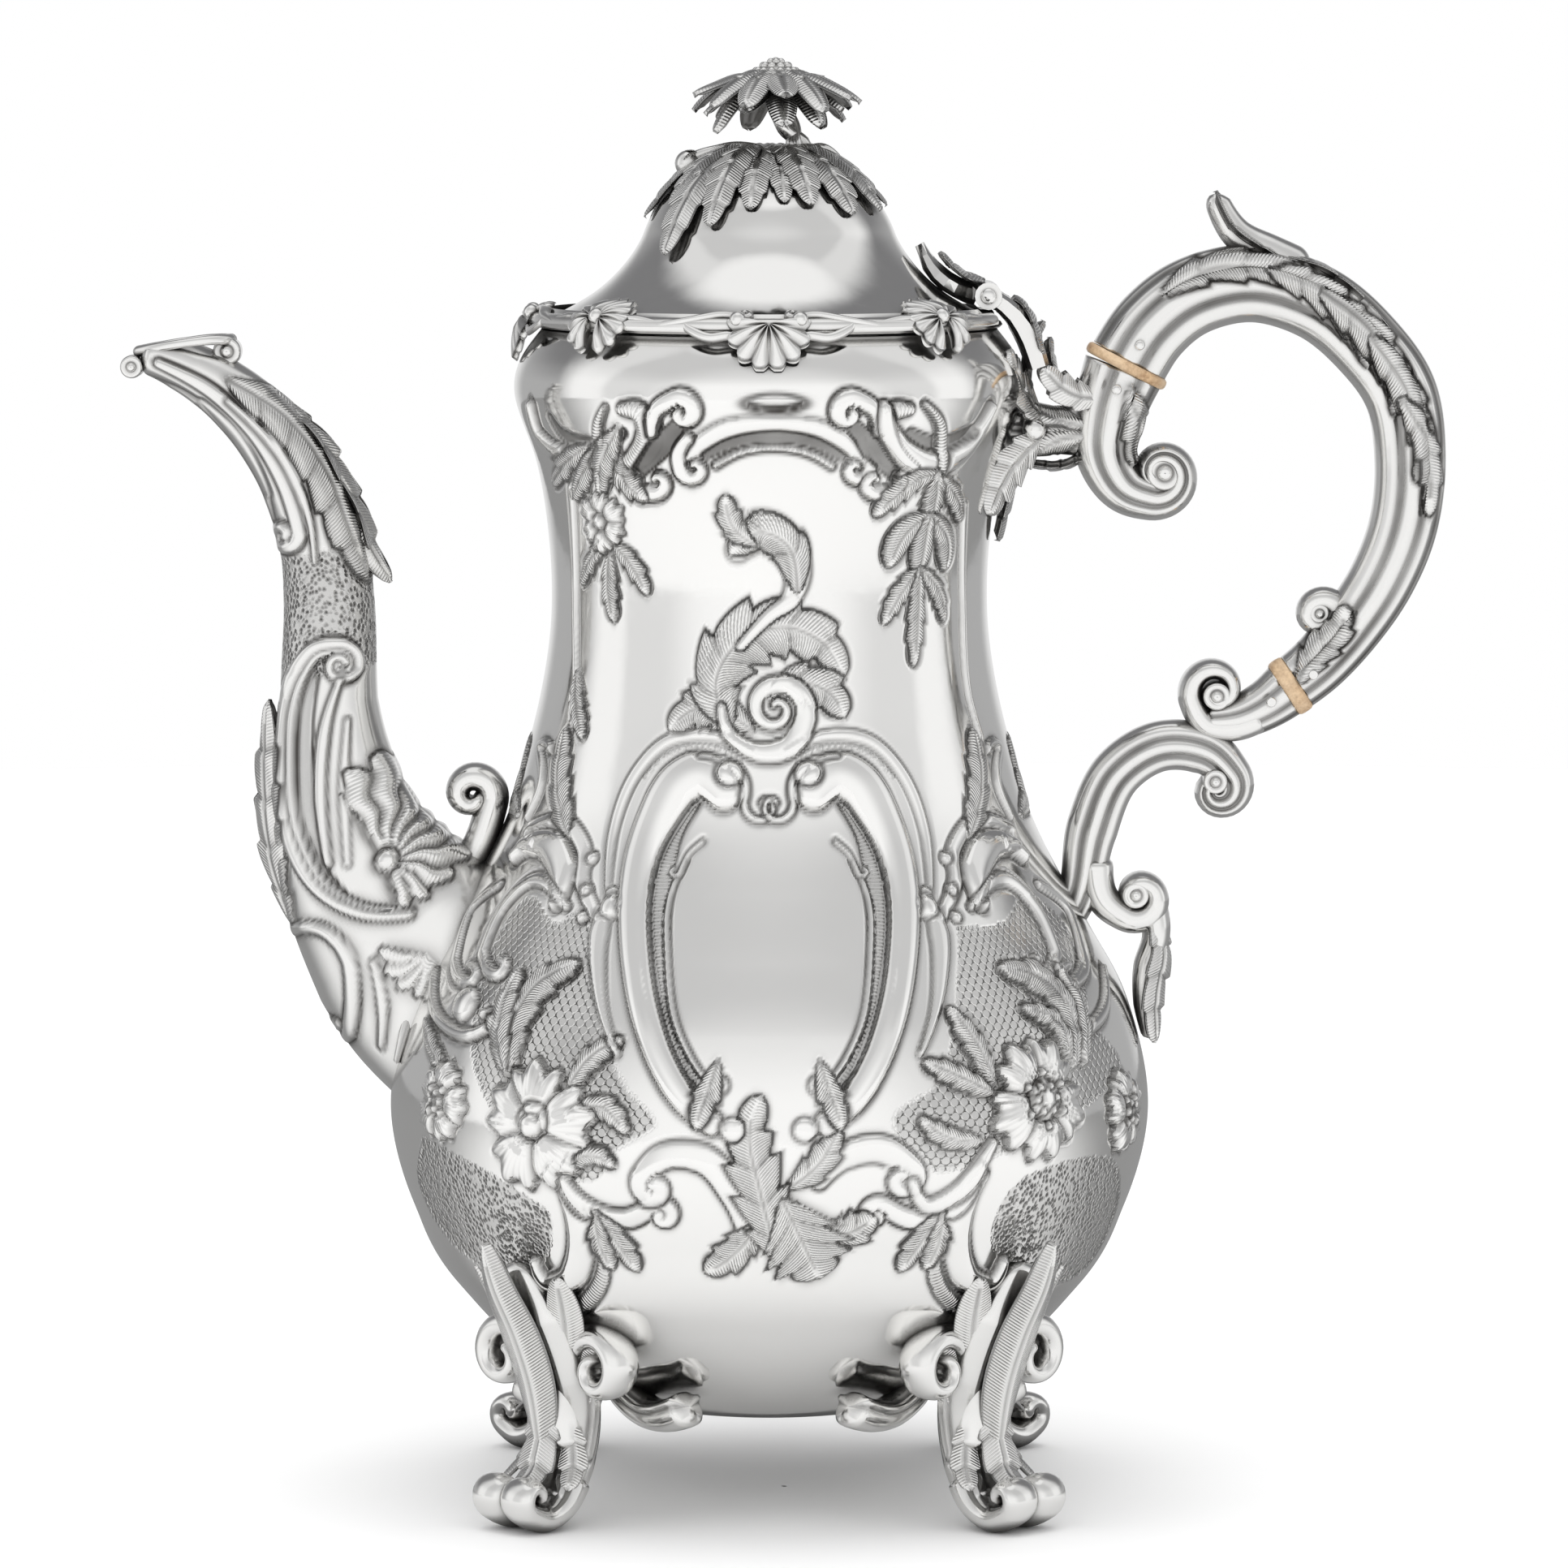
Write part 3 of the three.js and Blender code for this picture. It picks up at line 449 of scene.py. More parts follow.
class Bar:
    """A bar swept along a path that lies in an upright plane.

    Across is the plane's own sideways direction. Thick and wide are half sizes in the plane and
    across it, as values evenly spread along the path. Square is the section's fullness.
    """

    def __init__(self, path, thick, wide, step=0.6, around=64, square=2.2, flutes=(), depth=0.0,
                 origin=(0, 0, 0), outward=(1, 0, 0), across=(0, 1, 0), caps=(1.5, 1.5)):
        path = even(path, step) if isinstance(path, np.ndarray) else smooth_path(path, step)
        length = np.linalg.norm(np.diff(path, axis=0), axis=1).sum()
        share = np.linspace(0, 1, len(path))
        along = share * length
        t = tangents(path)
        normal = np.stack([-t[:, 1], t[:, 0]], 1)
        thick, wide = spread(thick, share), spread(wide, share)
        for cap, distance in ((caps[0], along), (caps[1], length - along)):
            if cap:
                close = np.clip(1 - distance / cap, 0, 1)
                round_off = np.sqrt(np.clip(1 - close ** 2, 0, 1)) * 0.98 + 0.02
                thick, wide = thick * round_off, wide * round_off
        angle = round_angles(around)
        c, s = np.cos(angle), np.sin(angle)
        size = (np.abs(c) ** square + np.abs(s) ** square) ** (-1 / square)
        a, b = c * size, s * size
        cutting = np.zeros(around)
        for at, width in flutes:
            cutting += np.exp(-((a - at) / width) ** 2) * (np.abs(b) > 0.25)
        cutting = np.clip(cutting, 0, 1)
        scale = 1 - depth * cutting
        off = a[None] * thick[:, None]
        sideways = (b * scale)[None] * wide[:, None]
        flat = path[:, None, :] + normal[:, None, :] * off[..., None]
        origin, outward, self.across = (np.asarray(v, float) for v in (origin, outward, across))
        up = np.array([0, 0, 1.0])
        points = origin + flat[..., :1] * outward + flat[..., 1:] * up + sideways[..., None] * self.across
        centre = (origin + path[:, :1] * outward + path[:, 1:] * up)[:, None]
        if ((points - centre) * grid_normals(points, True)).sum() < 0:
            points, flat, cutting = points[:, ::-1], flat[:, ::-1], cutting[::-1]
        self.points, self.normals = points, grid_normals(points, True)
        self.rows, self.columns = len(path), around
        self.relief = Relief(flat.reshape(-1, 2))
        self.relief.dark += np.tile(cutting, self.rows) * 0.8

    def surface(self):
        """The bar's points with its relief laid on, its faces and what its material reads."""
        # painted shade in the low places beside the raised ornament
        self.relief.paint_recess_shade(self.rows, self.columns)
        lift = self.relief.height.reshape(self.rows, self.columns, 1)
        face = np.clip(np.abs((self.normals * self.across).sum(2, keepdims=True)) * 1.6, 0, 1)
        points = self.points + self.normals * lift * face
        return points, grid_faces(self.rows, self.columns, True), self.relief.attributes()

    def into(self, piece):
        """Adds the bar to a piece, with both ends closed."""
        first = piece.count
        last = first + (self.rows - 1) * self.columns
        piece.add(*self.surface())
        piece.faces += [list(range(first, first + self.columns))[::-1],
                        list(range(last, last + self.columns))]


def frame_along(path, first):
    """Sideways and upward directions along a path in space, kept from twisting."""
    t = tangents(path)
    up = np.asarray(first, float)
    sides, ups = [], []
    for k in range(len(path)):
        up = up - t[k] * (up @ t[k])
        up /= np.linalg.norm(up)
        ups.append(up)
        sides.append(np.cross(t[k], up))
    return np.array(sides), np.array(ups)


# painted shade on the undersides of free leaves and petals
UNDERSIDE_SHADE = 0.55


def leaf_blade(piece, midrib, half, up, lobes=3, cut=0.3, thick=0.9, cup=0.25, lean=0.7, blunt=0.6,
               stalk=0.0, ruffle=0.0, hatch=0.5, columns=25, step=0.45):
    """A leaf or petal as a thin curved sheet with a rounded edge, veins and a midrib."""
    path = smooth_path(midrib, step)
    length = np.linalg.norm(np.diff(path, axis=0), axis=1).sum()
    side, over = frame_along(path, up)
    share = np.linspace(0, 1, len(path))[:, None]
    v = np.linspace(-1, 1, columns)[None]
    wave = lobe_wave(share, lobes)
    outline = 1.9 * (share * (1 - stalk) + 0.02 + stalk * 0.4) ** 0.42 * (1 - share) ** blunt
    width = half * np.clip(outline, 0, 1) * (1 - cut * (1 - wave)) + 0.12
    forward = lean * np.abs(v) * width * (1 - 0.6 * share)
    at = np.clip(share + forward / length, 0, 1) * (len(path) - 1)
    low = np.floor(at).astype(int)
    high = np.minimum(low + 1, len(path) - 1)
    mix = (at - low)[..., None]
    base, sides, overs = (v[low] * (1 - mix) + v[high] * mix for v in (path, side, over))
    bulge = (1 - np.abs(v) ** 1.6) * (0.75 + 0.25 * wave)
    rib = np.exp(-(np.abs(v) * width / 0.45) ** 2)
    vein = (1 - wave) ** 4 * np.clip(np.abs(v) * 3, 0, 1)
    lift = cup * half * bulge - 0.32 * rib - 0.2 * vein + ruffle * np.sin(share * 17 + v * 4) * np.abs(v)
    top = base + sides * (v * width)[..., None] + overs * lift[..., None]
    sheet = thick * np.sqrt(np.clip(1 - v ** 6, 0.03, 1)) * np.clip((1 - share) * 9, 0.25, 1)
    bottom = top - overs * sheet[..., None]
    rows = len(path)
    grid = facing(grid_faces(rows, columns), top, overs)
    start = piece.count
    count = rows * columns
    edge_dark = np.clip(np.abs(v) - 0.86, 0, 1) * 2.0
    look = tones(np.clip(0.55 * vein + 0.45 * rib * (share < 0.9) + edge_dark, 0, 0.85), rows, columns,
                 hatch * np.clip(np.abs(v) * 3 - 0.3, 0, 1))
    pattern = np.zeros((rows, columns, 3))
    pattern[..., 0] = share * length / VEIN_PITCH
    pattern = {"pattern": pattern.reshape(-1, 3)}
    piece.add(top, grid, {**look, **pattern})
    # the underside gets painted shade
    piece.add(bottom, grid[:, ::-1], {**tones(UNDERSIDE_SHADE, rows, columns), **pattern})
    rim = ([k * columns for k in range(rows)] + [(rows - 1) * columns + k for k in range(1, columns)]
           + [k * columns + columns - 1 for k in range(rows - 2, -1, -1)]
           + [k for k in range(columns - 2, 0, -1)])
    for a, b in zip(rim, rim[1:] + rim[:1]):
        piece.faces.append([start + b, start + a, start + count + a, start + count + b])


TUBE_SIDES = 16


def tube(piece, path, radius, up=(0, 1, 0), lobes=0, groove=0.0):
    """A round or lobed rod along a path in space, with rounded ends."""
    path = smooth_path(path)
    side, over = frame_along(path, up)
    share = np.linspace(0, 1, len(path))
    length = np.linalg.norm(np.diff(path, axis=0), axis=1).sum()
    size = spread(radius, share)
    ends = np.minimum(share, 1 - share) * length
    size = size * np.sqrt(np.clip(1 - np.clip(1 - ends / (size + 1e-6), 0, 1) ** 2, 0.004, 1))
    angle = round_angles(TUBE_SIDES)[None]
    cutting = 0.5 - 0.5 * np.cos(angle * lobes)
    r = size[:, None] * (1 - groove * cutting)
    points = (path[:, None] + side[:, None] * (r * np.cos(angle))[..., None]
              + over[:, None] * (r * np.sin(angle))[..., None])
    faces = facing(grid_faces(len(path), TUBE_SIDES, True), points, points - path[:, None], True)
    first = piece.count
    last = first + (len(path) - 1) * TUBE_SIDES
    piece.add(points, faces, tones(0.6 * cutting ** 3, len(path), TUBE_SIDES))
    piece.faces += [list(range(first, first + TUBE_SIDES)), list(range(last, last + TUBE_SIDES))]


def ball(piece, centre, radius, dark=0.0, rows=12, around=20):
    """A small smooth bead, a little flattened at its poles."""
    lat = np.linspace(-math.pi / 2, math.pi / 2, rows)[:, None]
    points = lathe(np.cos(lat), np.sin(lat), round_angles(around)) * radius + np.asarray(centre)
    piece.add(points, grid_faces(rows, around, True), tones(dark, rows, around))


def turned(piece, profile, around=160, step=0.7):
    """A surface of revolution round the pot's axis, from (radius, height) points."""
    line = smooth_path(profile, step)
    points = lathe(line[:, :1], line[:, 1:], round_angles(around))
    normals = grid_normals(points, True).reshape(-1, 3)
    return piece.add(points, grid_faces(len(line), around, True), {}, normals)


# ---------------------------------------------------------------- materials

class Nodes:
    """Short forms for building the nodes of a material or of the world."""

    def __init__(self, owner):
        owner.use_nodes = True
        self.owner = owner
        self.tree = owner.node_tree
        self.shader = self.tree.nodes.get("Principled BSDF")

    def link(self, value, socket):
        """Puts a plain value in a socket, or joins another node's output to it."""
        if isinstance(value, (int, float, tuple)):
            socket.default_value = value
        else:
            self.tree.links.new(value, socket)

    def new(self, kind, *given):
        """A new node, with values for its first inputs."""
        node = self.tree.nodes.new("ShaderNode" + kind)
        for value, socket in zip(given, node.inputs):
            self.link(value, socket)
        return node

    def math(self, operation, *given):
        """A sum of some kind over its inputs."""
        node = self.new("Math", *given)
        node.operation = operation
        return node.outputs[0]

    def split(self, vector):
        """A vector's three parts."""
        return self.new("SeparateXYZ", vector).outputs

    def attribute(self, name):
        """The three parts of one of the mesh's own attributes."""
        node = self.new("Attribute")
        node.attribute_name = name
        return self.split(node.outputs["Vector"])

    def place(self, kind="Object"):
        """Where a point lies: in the object's own metres, or its direction for the world."""
        return self.new("TexCoord").outputs[kind]

    def in_silver(self):
        """1 where silver mirrors the thing, and 0 where it is seen straight."""
        return self.new("LightPath").outputs["Is Glossy Ray"]

    def noise(self, scale, detail=2.0, rough=0.5, stretch=None):
        """Soft clouds, which may be stretched along an axis."""
        where = self.place()
        if stretch:
            mapping = self.new("Mapping", where)
            mapping.inputs["Scale"].default_value = stretch
            where = mapping.outputs[0]
        node = self.new("TexNoise", where)
        node.inputs["Scale"].default_value = scale
        node.inputs["Detail"].default_value = detail
        node.inputs["Roughness"].default_value = rough
        return node.outputs["Fac"]

    def cells(self, scale):
        """The distance to the nearest of many scattered points."""
        node = self.new("TexVoronoi", self.place())
        node.feature = "F1"
        node.inputs["Scale"].default_value = scale
        return node.outputs["Distance"]

    def spread(self, value, low, high, start=0.0, end=1.0):
        """Low where the value is at its start, high where it is at its end, and even between."""
        return self.new("MapRange", value, start, end, low, high).outputs[0]

    def soft(self, value, low, high, start, end):
        """Like spread, with an even start and finish."""
        socket = self.spread(value, low, high, start, end)
        socket.node.interpolation_type = "SMOOTHSTEP"
        return socket

    def mix(self, share, a, b):
        """Colour a, or b where the share is 1."""
        node = self.new("Mix")
        node.data_type = "RGBA"
        for given, socket in ((share, node.inputs[0]), (a, node.inputs[6]), (b, node.inputs[7])):
            self.link(given, socket)
        return node.outputs[2]

    def openness(self, reach):
        """How open the surface is round a point, from 0 in a crevice to 1 in the clear."""
        node = self.new("AmbientOcclusion")
        node.samples = 6
        node.inputs["Distance"].default_value = reach
        return node.outputs["AO"]

    def bump(self, height, distance, strength=1.0, normal=None):
        """The surface's direction with fine relief in it."""
        node = self.new("Bump")
        node.inputs["Strength"].default_value = strength
        node.inputs["Distance"].default_value = distance
        self.link(height, node.inputs["Height"])
        if normal is not None:
            self.link(normal, node.inputs["Normal"])
        return node.outputs[0]


BRIGHT_SILVER = (0.93, 0.925, 0.91, 1)
# the dark colour for tarnish in cut lines and for painted shade
OXIDE_AND_SHADE = (0.085, 0.08, 0.075, 1)
SCALE_WIDE, SCALE_HIGH = 2.1, 1.3      # one scale of the chased ground, mm


def scale_pattern(n, u, v):
    """Rows of rounded overlapping scales, each row moved half a scale along."""
    best = None
    for shift in (0.0, 0.5):
        across = n.math("ADD", n.math("DIVIDE", u, SCALE_WIDE), shift)
        down = n.math("ADD", n.math("DIVIDE", v, 2 * SCALE_HIGH), shift)
        fu = n.math("MULTIPLY", n.math("SUBTRACT", n.math("FRACT", across), 0.5), SCALE_WIDE)
        fv = n.math("MULTIPLY", n.math("SUBTRACT", n.math("FRACT", down), 0.5), 2 * SCALE_HIGH)
        far = n.math("SQRT", n.math("ADD", n.math("MULTIPLY", fu, fu), n.math("MULTIPLY", fv, fv)))
        disc = n.math("SUBTRACT", 1.0, n.math("DIVIDE", far, 0.5 * SCALE_WIDE))
        tilt = n.math("ADD", n.spread(disc, 0.0, 0.8, 0.0, 0.3), n.math("MULTIPLY", fv, -0.28))
        best = tilt if best is None else n.math("MAXIMUM", best, tilt)
    return best


def silver(name, polish=0.09, waves=0.5, toning=0.0, worn=0.0):
    """Polished silver. The surface's own attributes darken cut lines, paint shade into recesses and crevices,
    and chase its grounds.
    """
    n = Nodes(bpy.data.materials.new(name))
    dark, hatch, stipple = n.attribute("look")
    phase, scales, _ = n.attribute("pattern")
    u, v, _ = n.attribute("chart")
    lines = n.math("SINE", n.math("MULTIPLY", phase, TAU))
    cloud = n.noise(55, 3.0)
    fine = n.noise(420, 4.0, 0.65)
    pits = n.spread(n.cells(1150), 0.0, 1.0, 0.1, 0.62)
    scale_height = scale_pattern(n, u, v)
    scale_dark = n.math("MULTIPLY", scales, n.spread(scale_height, 0.75, 0.1, 0.05, 0.45))
    pit_dark = n.math("MULTIPLY", stipple, n.spread(pits, 0.95, 0.2))
    line_dark = n.math("MULTIPLY", hatch, n.spread(lines, 0.6, 0.0, -1.0, 0.0))
    # painted shade: the colour darkens where ambient occlusion finds a crevice
    crevice_shade = n.spread(n.openness(0.0035), 0.8, 0.0, 0.25, 0.85)
    dark = n.math("MAXIMUM", dark, crevice_shade)
    base = n.math("ADD", n.math("MULTIPLY", dark, n.spread(cloud, 0.75, 1.1, 0.3, 0.7)), toning)
    tarnish_and_shade = base
    for other in (scale_dark, pit_dark, line_dark):
        tarnish_and_shade = n.math("MAXIMUM", tarnish_and_shade, other)
    tarnish_and_shade = n.math("MINIMUM", tarnish_and_shade, 1.0)
    n.link(n.mix(tarnish_and_shade, BRIGHT_SILVER, OXIDE_AND_SHADE), n.shader.inputs["Base Color"])
    n.shader.inputs["Metallic"].default_value = 1.0
    rough = n.math("ADD", n.spread(tarnish_and_shade, polish, 0.42), n.spread(fine, -0.02, 0.05 + worn, 0.35, 0.7))
    n.link(rough, n.shader.inputs["Roughness"])
    normal = n.bump(n.noise(26, 1.0), 0.004, 0.10 * waves)
    normal = n.bump(n.noise(150, 2.0), 0.0006, 0.10 * waves, normal)
    normal = n.bump(n.math("MULTIPLY", lines, hatch), 0.00009, 1.0, normal)
    normal = n.bump(n.math("MULTIPLY", scale_height, scales), 0.00042, 1.0, normal)
    normal = n.bump(n.math("MULTIPLY", pits, stipple), 0.0003, 1.0, normal)
    n.link(normal, n.shader.inputs["Normal"])
    return n.owner


def insulator():
    """Aged ivory-coloured ring with fine brown grain."""
    n = Nodes(bpy.data.materials.new("insulator_ring"))
    grain = n.noise(900, 5.0, 0.7, (1.0, 0.12, 1.0))
    patch = n.noise(160, 3.0)
    tint = n.mix(n.spread(grain, 0.0, 1.0, 0.38, 0.66), (0.62, 0.43, 0.25, 1), (0.30, 0.165, 0.075, 1))
    tint = n.mix(n.spread(patch, 0.0, 0.6, 0.35, 0.7), tint, (0.74, 0.58, 0.40, 1))
    n.link(tint, n.shader.inputs["Base Color"])
    n.link(n.spread(grain, 0.26, 0.44), n.shader.inputs["Roughness"])
    n.link(n.bump(grain, 0.0001, 0.5), n.shader.inputs["Normal"])
    return n.owner


SHEET = silver("silver_sheet_polished")
CAST = silver("silver_cast_polished", polish=0.12, waves=0.7, toning=0.08)
INSIDE = silver("silver_inside_worn", polish=0.26, waves=1.2, toning=0.22, worn=0.15)
RING = insulator()


# ---------------------------------------------------------------- body

OUTLINE = [(0, 17), (24, 17), (36, 21), (47, 28), (55.6, 36.6), (65.4, 50), (71.4, 71), (67.4, 92),
           (60.8, 104.7), (54.2, 116.4), (48, 129), (43.4, 143.5), (40.7, 158), (40.2, 168),
           (41, 180), (42.9, 191), (47, 204), (46.1, 209.4), (42, 215.5)]
WALL_THICKNESS = 0.7
MOUTH_RADIUS = 38.9
SEAT_Z = 215.5
CHART_RADIUS = 71.4      # turns an angle round the pot into the chart's millimetres
WIDEST_Y = 71.3          # ornament is pressed flat short of this depth
FLATTENED_OVER = 1.4


def body_profile():
    """The plain sheet below the ornament, as radius and height from the floor centre up."""
    line = smooth_path(OUTLINE, 0.25)
    r, z = line[:, 0], line[:, 1]
    sunk = 1.15 * ease((z - 40) / 14) * ease((142 - z) / 24)
    r = np.where(r > 30, r - sunk - 0.1, r)
    coarse = even(np.stack([r, z], 1)[z < 30], 1.6)
    fine = even(np.stack([r, z], 1)[z >= 30], 0.52)
    return np.vstack([coarse[:-1], fine])


PROFILE = body_profile()
PROFILE_RUN = np.concatenate([[0], np.cumsum(np.linalg.norm(np.diff(PROFILE, axis=0), axis=1))])
WALL = PROFILE[:, 1] > 20
WALL_R, WALL_Z = PROFILE[WALL].T


def body_place(line):
    """Turns (x, z) as seen from the front into (angle, run up the wall)."""
    x, z = np.asarray(line, float).T
    angle = np.arcsin(np.clip(x / np.interp(z, WALL_Z, WALL_R), -0.995, 0.995))
    return np.stack([angle, np.interp(z, WALL_Z, PROFILE_RUN[WALL])], 1)


def mirrored(line):
    """A line given for the left side, on the right side."""
    return [(-x, z) for x, z in line]


def moved(line, side, shift):
    """A line shifted along the front, and mirrored for side -1."""
    return [(side * (x - shift), z) for x, z in line]


SIDES = ((1, list), (-1, mirrored))      # lines are given for the left side and mirrored for the right


def chase_cartouche(b):
    """The plain oval panel and the scrolls and acanthus round it."""
    for s, flip in SIDES:
        outer = flip([(-3, 141), (-10, 144), (-18, 143), (-24, 137), (-28, 127), (-29, 114)])
        b.ridge(outer, (1.2, 2.2, 2.4, 2.4, 2.0, 1.0), 0.5)
        b.beads(flip([(-4, 139.6), (-10, 142), (-17, 141.2), (-22.6, 136)]), 1.1, 0.42, 0.3)
        b.ridge(flip([(-28, 116), (-30.5, 109), (-30.6, 102), (-29.6, 96), (-27, 89)]),
                (2.6, 4.2, 3.2, 2.0, 1.2), 0.9)
        b.boss(flip([(-28.2, 113.6)])[0], 2.3, 1.1)
        b.ridge(flip([(-13, 132), (-17, 126), (-19.4, 117), (-19.8, 106), (-18.8, 96), (-15.6, 89),
                      (-11, 83)]), (1.4, 3.2, 4.4, 4.4, 4.2, 3.2, 1.4), -0.6, "flat", edge=0.6,
                dark=0.42, milled=0.5)
        b.ridge(curled(flip([(-15, 122), (-18, 115), (-18.2, 106), (-17, 96), (-14, 89), (-10, 83.5)]),
                       1.7, side=s, turns=0.9), (1.0, 1.3, 1.3, 1.3, 1.2, 0.9), 0.35, edge=0.75)
        b.beads(flip([(-16.4, 121), (-19.2, 114), (-19.3, 106), (-18.2, 97), (-15.4, 90), (-11.4, 84.6)]),
                1.0, 0.4, 0.25)
        b.ridge(curled(flip([(-12, 125.4), (-14.6, 123), (-16, 120)]), 1.2, side=-s, turns=0.6), 0.9, 0.3)
        scroll = flip([(-8, 134), (-12, 137), (-16, 135.4), (-20, 129.4), (-23, 122), (-24.2, 114),
                       (-23.6, 104), (-22, 96), (-19, 88), (-15, 81.6), (-10, 77.4)])
        b.ridge(scroll, (6.8, 9, 8.6, 7.4, 6.4, 6, 5.8, 5.6, 5.4, 5.2, 4.4), 2.0, edge=0.7)
        b.ridge(curled(flip([(-12, 140.4), (-7.4, 139.4), (-4.4, 136.4), (-4.4, 132.4)]), 3.4,
                       side=s, turns=0.85), (1.0, 1.6, 1.6, 1.3, 0.9), 0.65, keep=0.7, edge=0.8)
        b.boss(flip([(-7, 137.4)])[0], 2.4, 1.3, keep=0.4)
        b.leaf(flip([(-9, 88), (-11, 82), (-13, 76)]), 2.6, 0.7, lobes=2)
        b.boss(flip([(-6.4, 76.4)])[0], 2.2, 0.8)


def chase_crest(b):
    """The rising scroll and feathered acanthus above the cartouche."""
    b.leaf([(-3, 145), (-8, 148), (-13, 148.6), (-18, 144.6)], 4.0, 0.8, lobes=3)
    b.leaf([(-6.5, 150), (-8.4, 156), (-8.6, 162.4)], 2.0, 0.6, lobes=3)
    b.leaf([(-7, 146), (-9.4, 153), (-5.6, 160.4), (2.6, 163.4), (9.6, 160.4), (13.4, 154)], 6.4, 1.05,
           lobes=6, lean=0.6, cut=0.35)
    b.leaf([(0, 151), (5.4, 153.4), (10.6, 151.6), (13.6, 147)], 4.2, 0.8, lobes=3)
    b.ridge(curled([(-8.4, 149), (-7.2, 144.4), (-2, 141.2), (4, 142.4), (6.4, 147.4)], 5.4, side=1,
                   turns=1.35, eye=0.16), (1.6, 3.0, 4.2, 4.4, 3.8, 3.0, 2.2, 1.4), 0.95, edge=0.8)
    b.ridge([(-5, 160), (0, 165.4), (3.8, 168.4), (5.2, 173), (3.4, 178), (-1, 180.2), (-5.6, 177.4)],
            (1.8, 2.2, 3.0, 4.6, 6.0, 6.4, 4.4), 0.75)
    b.leaf([(5.0, 170), (3.4, 178), (-1.6, 180.6), (-7, 176.4)], 4.0, 0.75, lobes=3, cut=0.2)
    b.leaf([(-2.6, 178.4), (-6.4, 181.6), (-7.8, 187.4)], 2.6, 0.65, lobes=3)


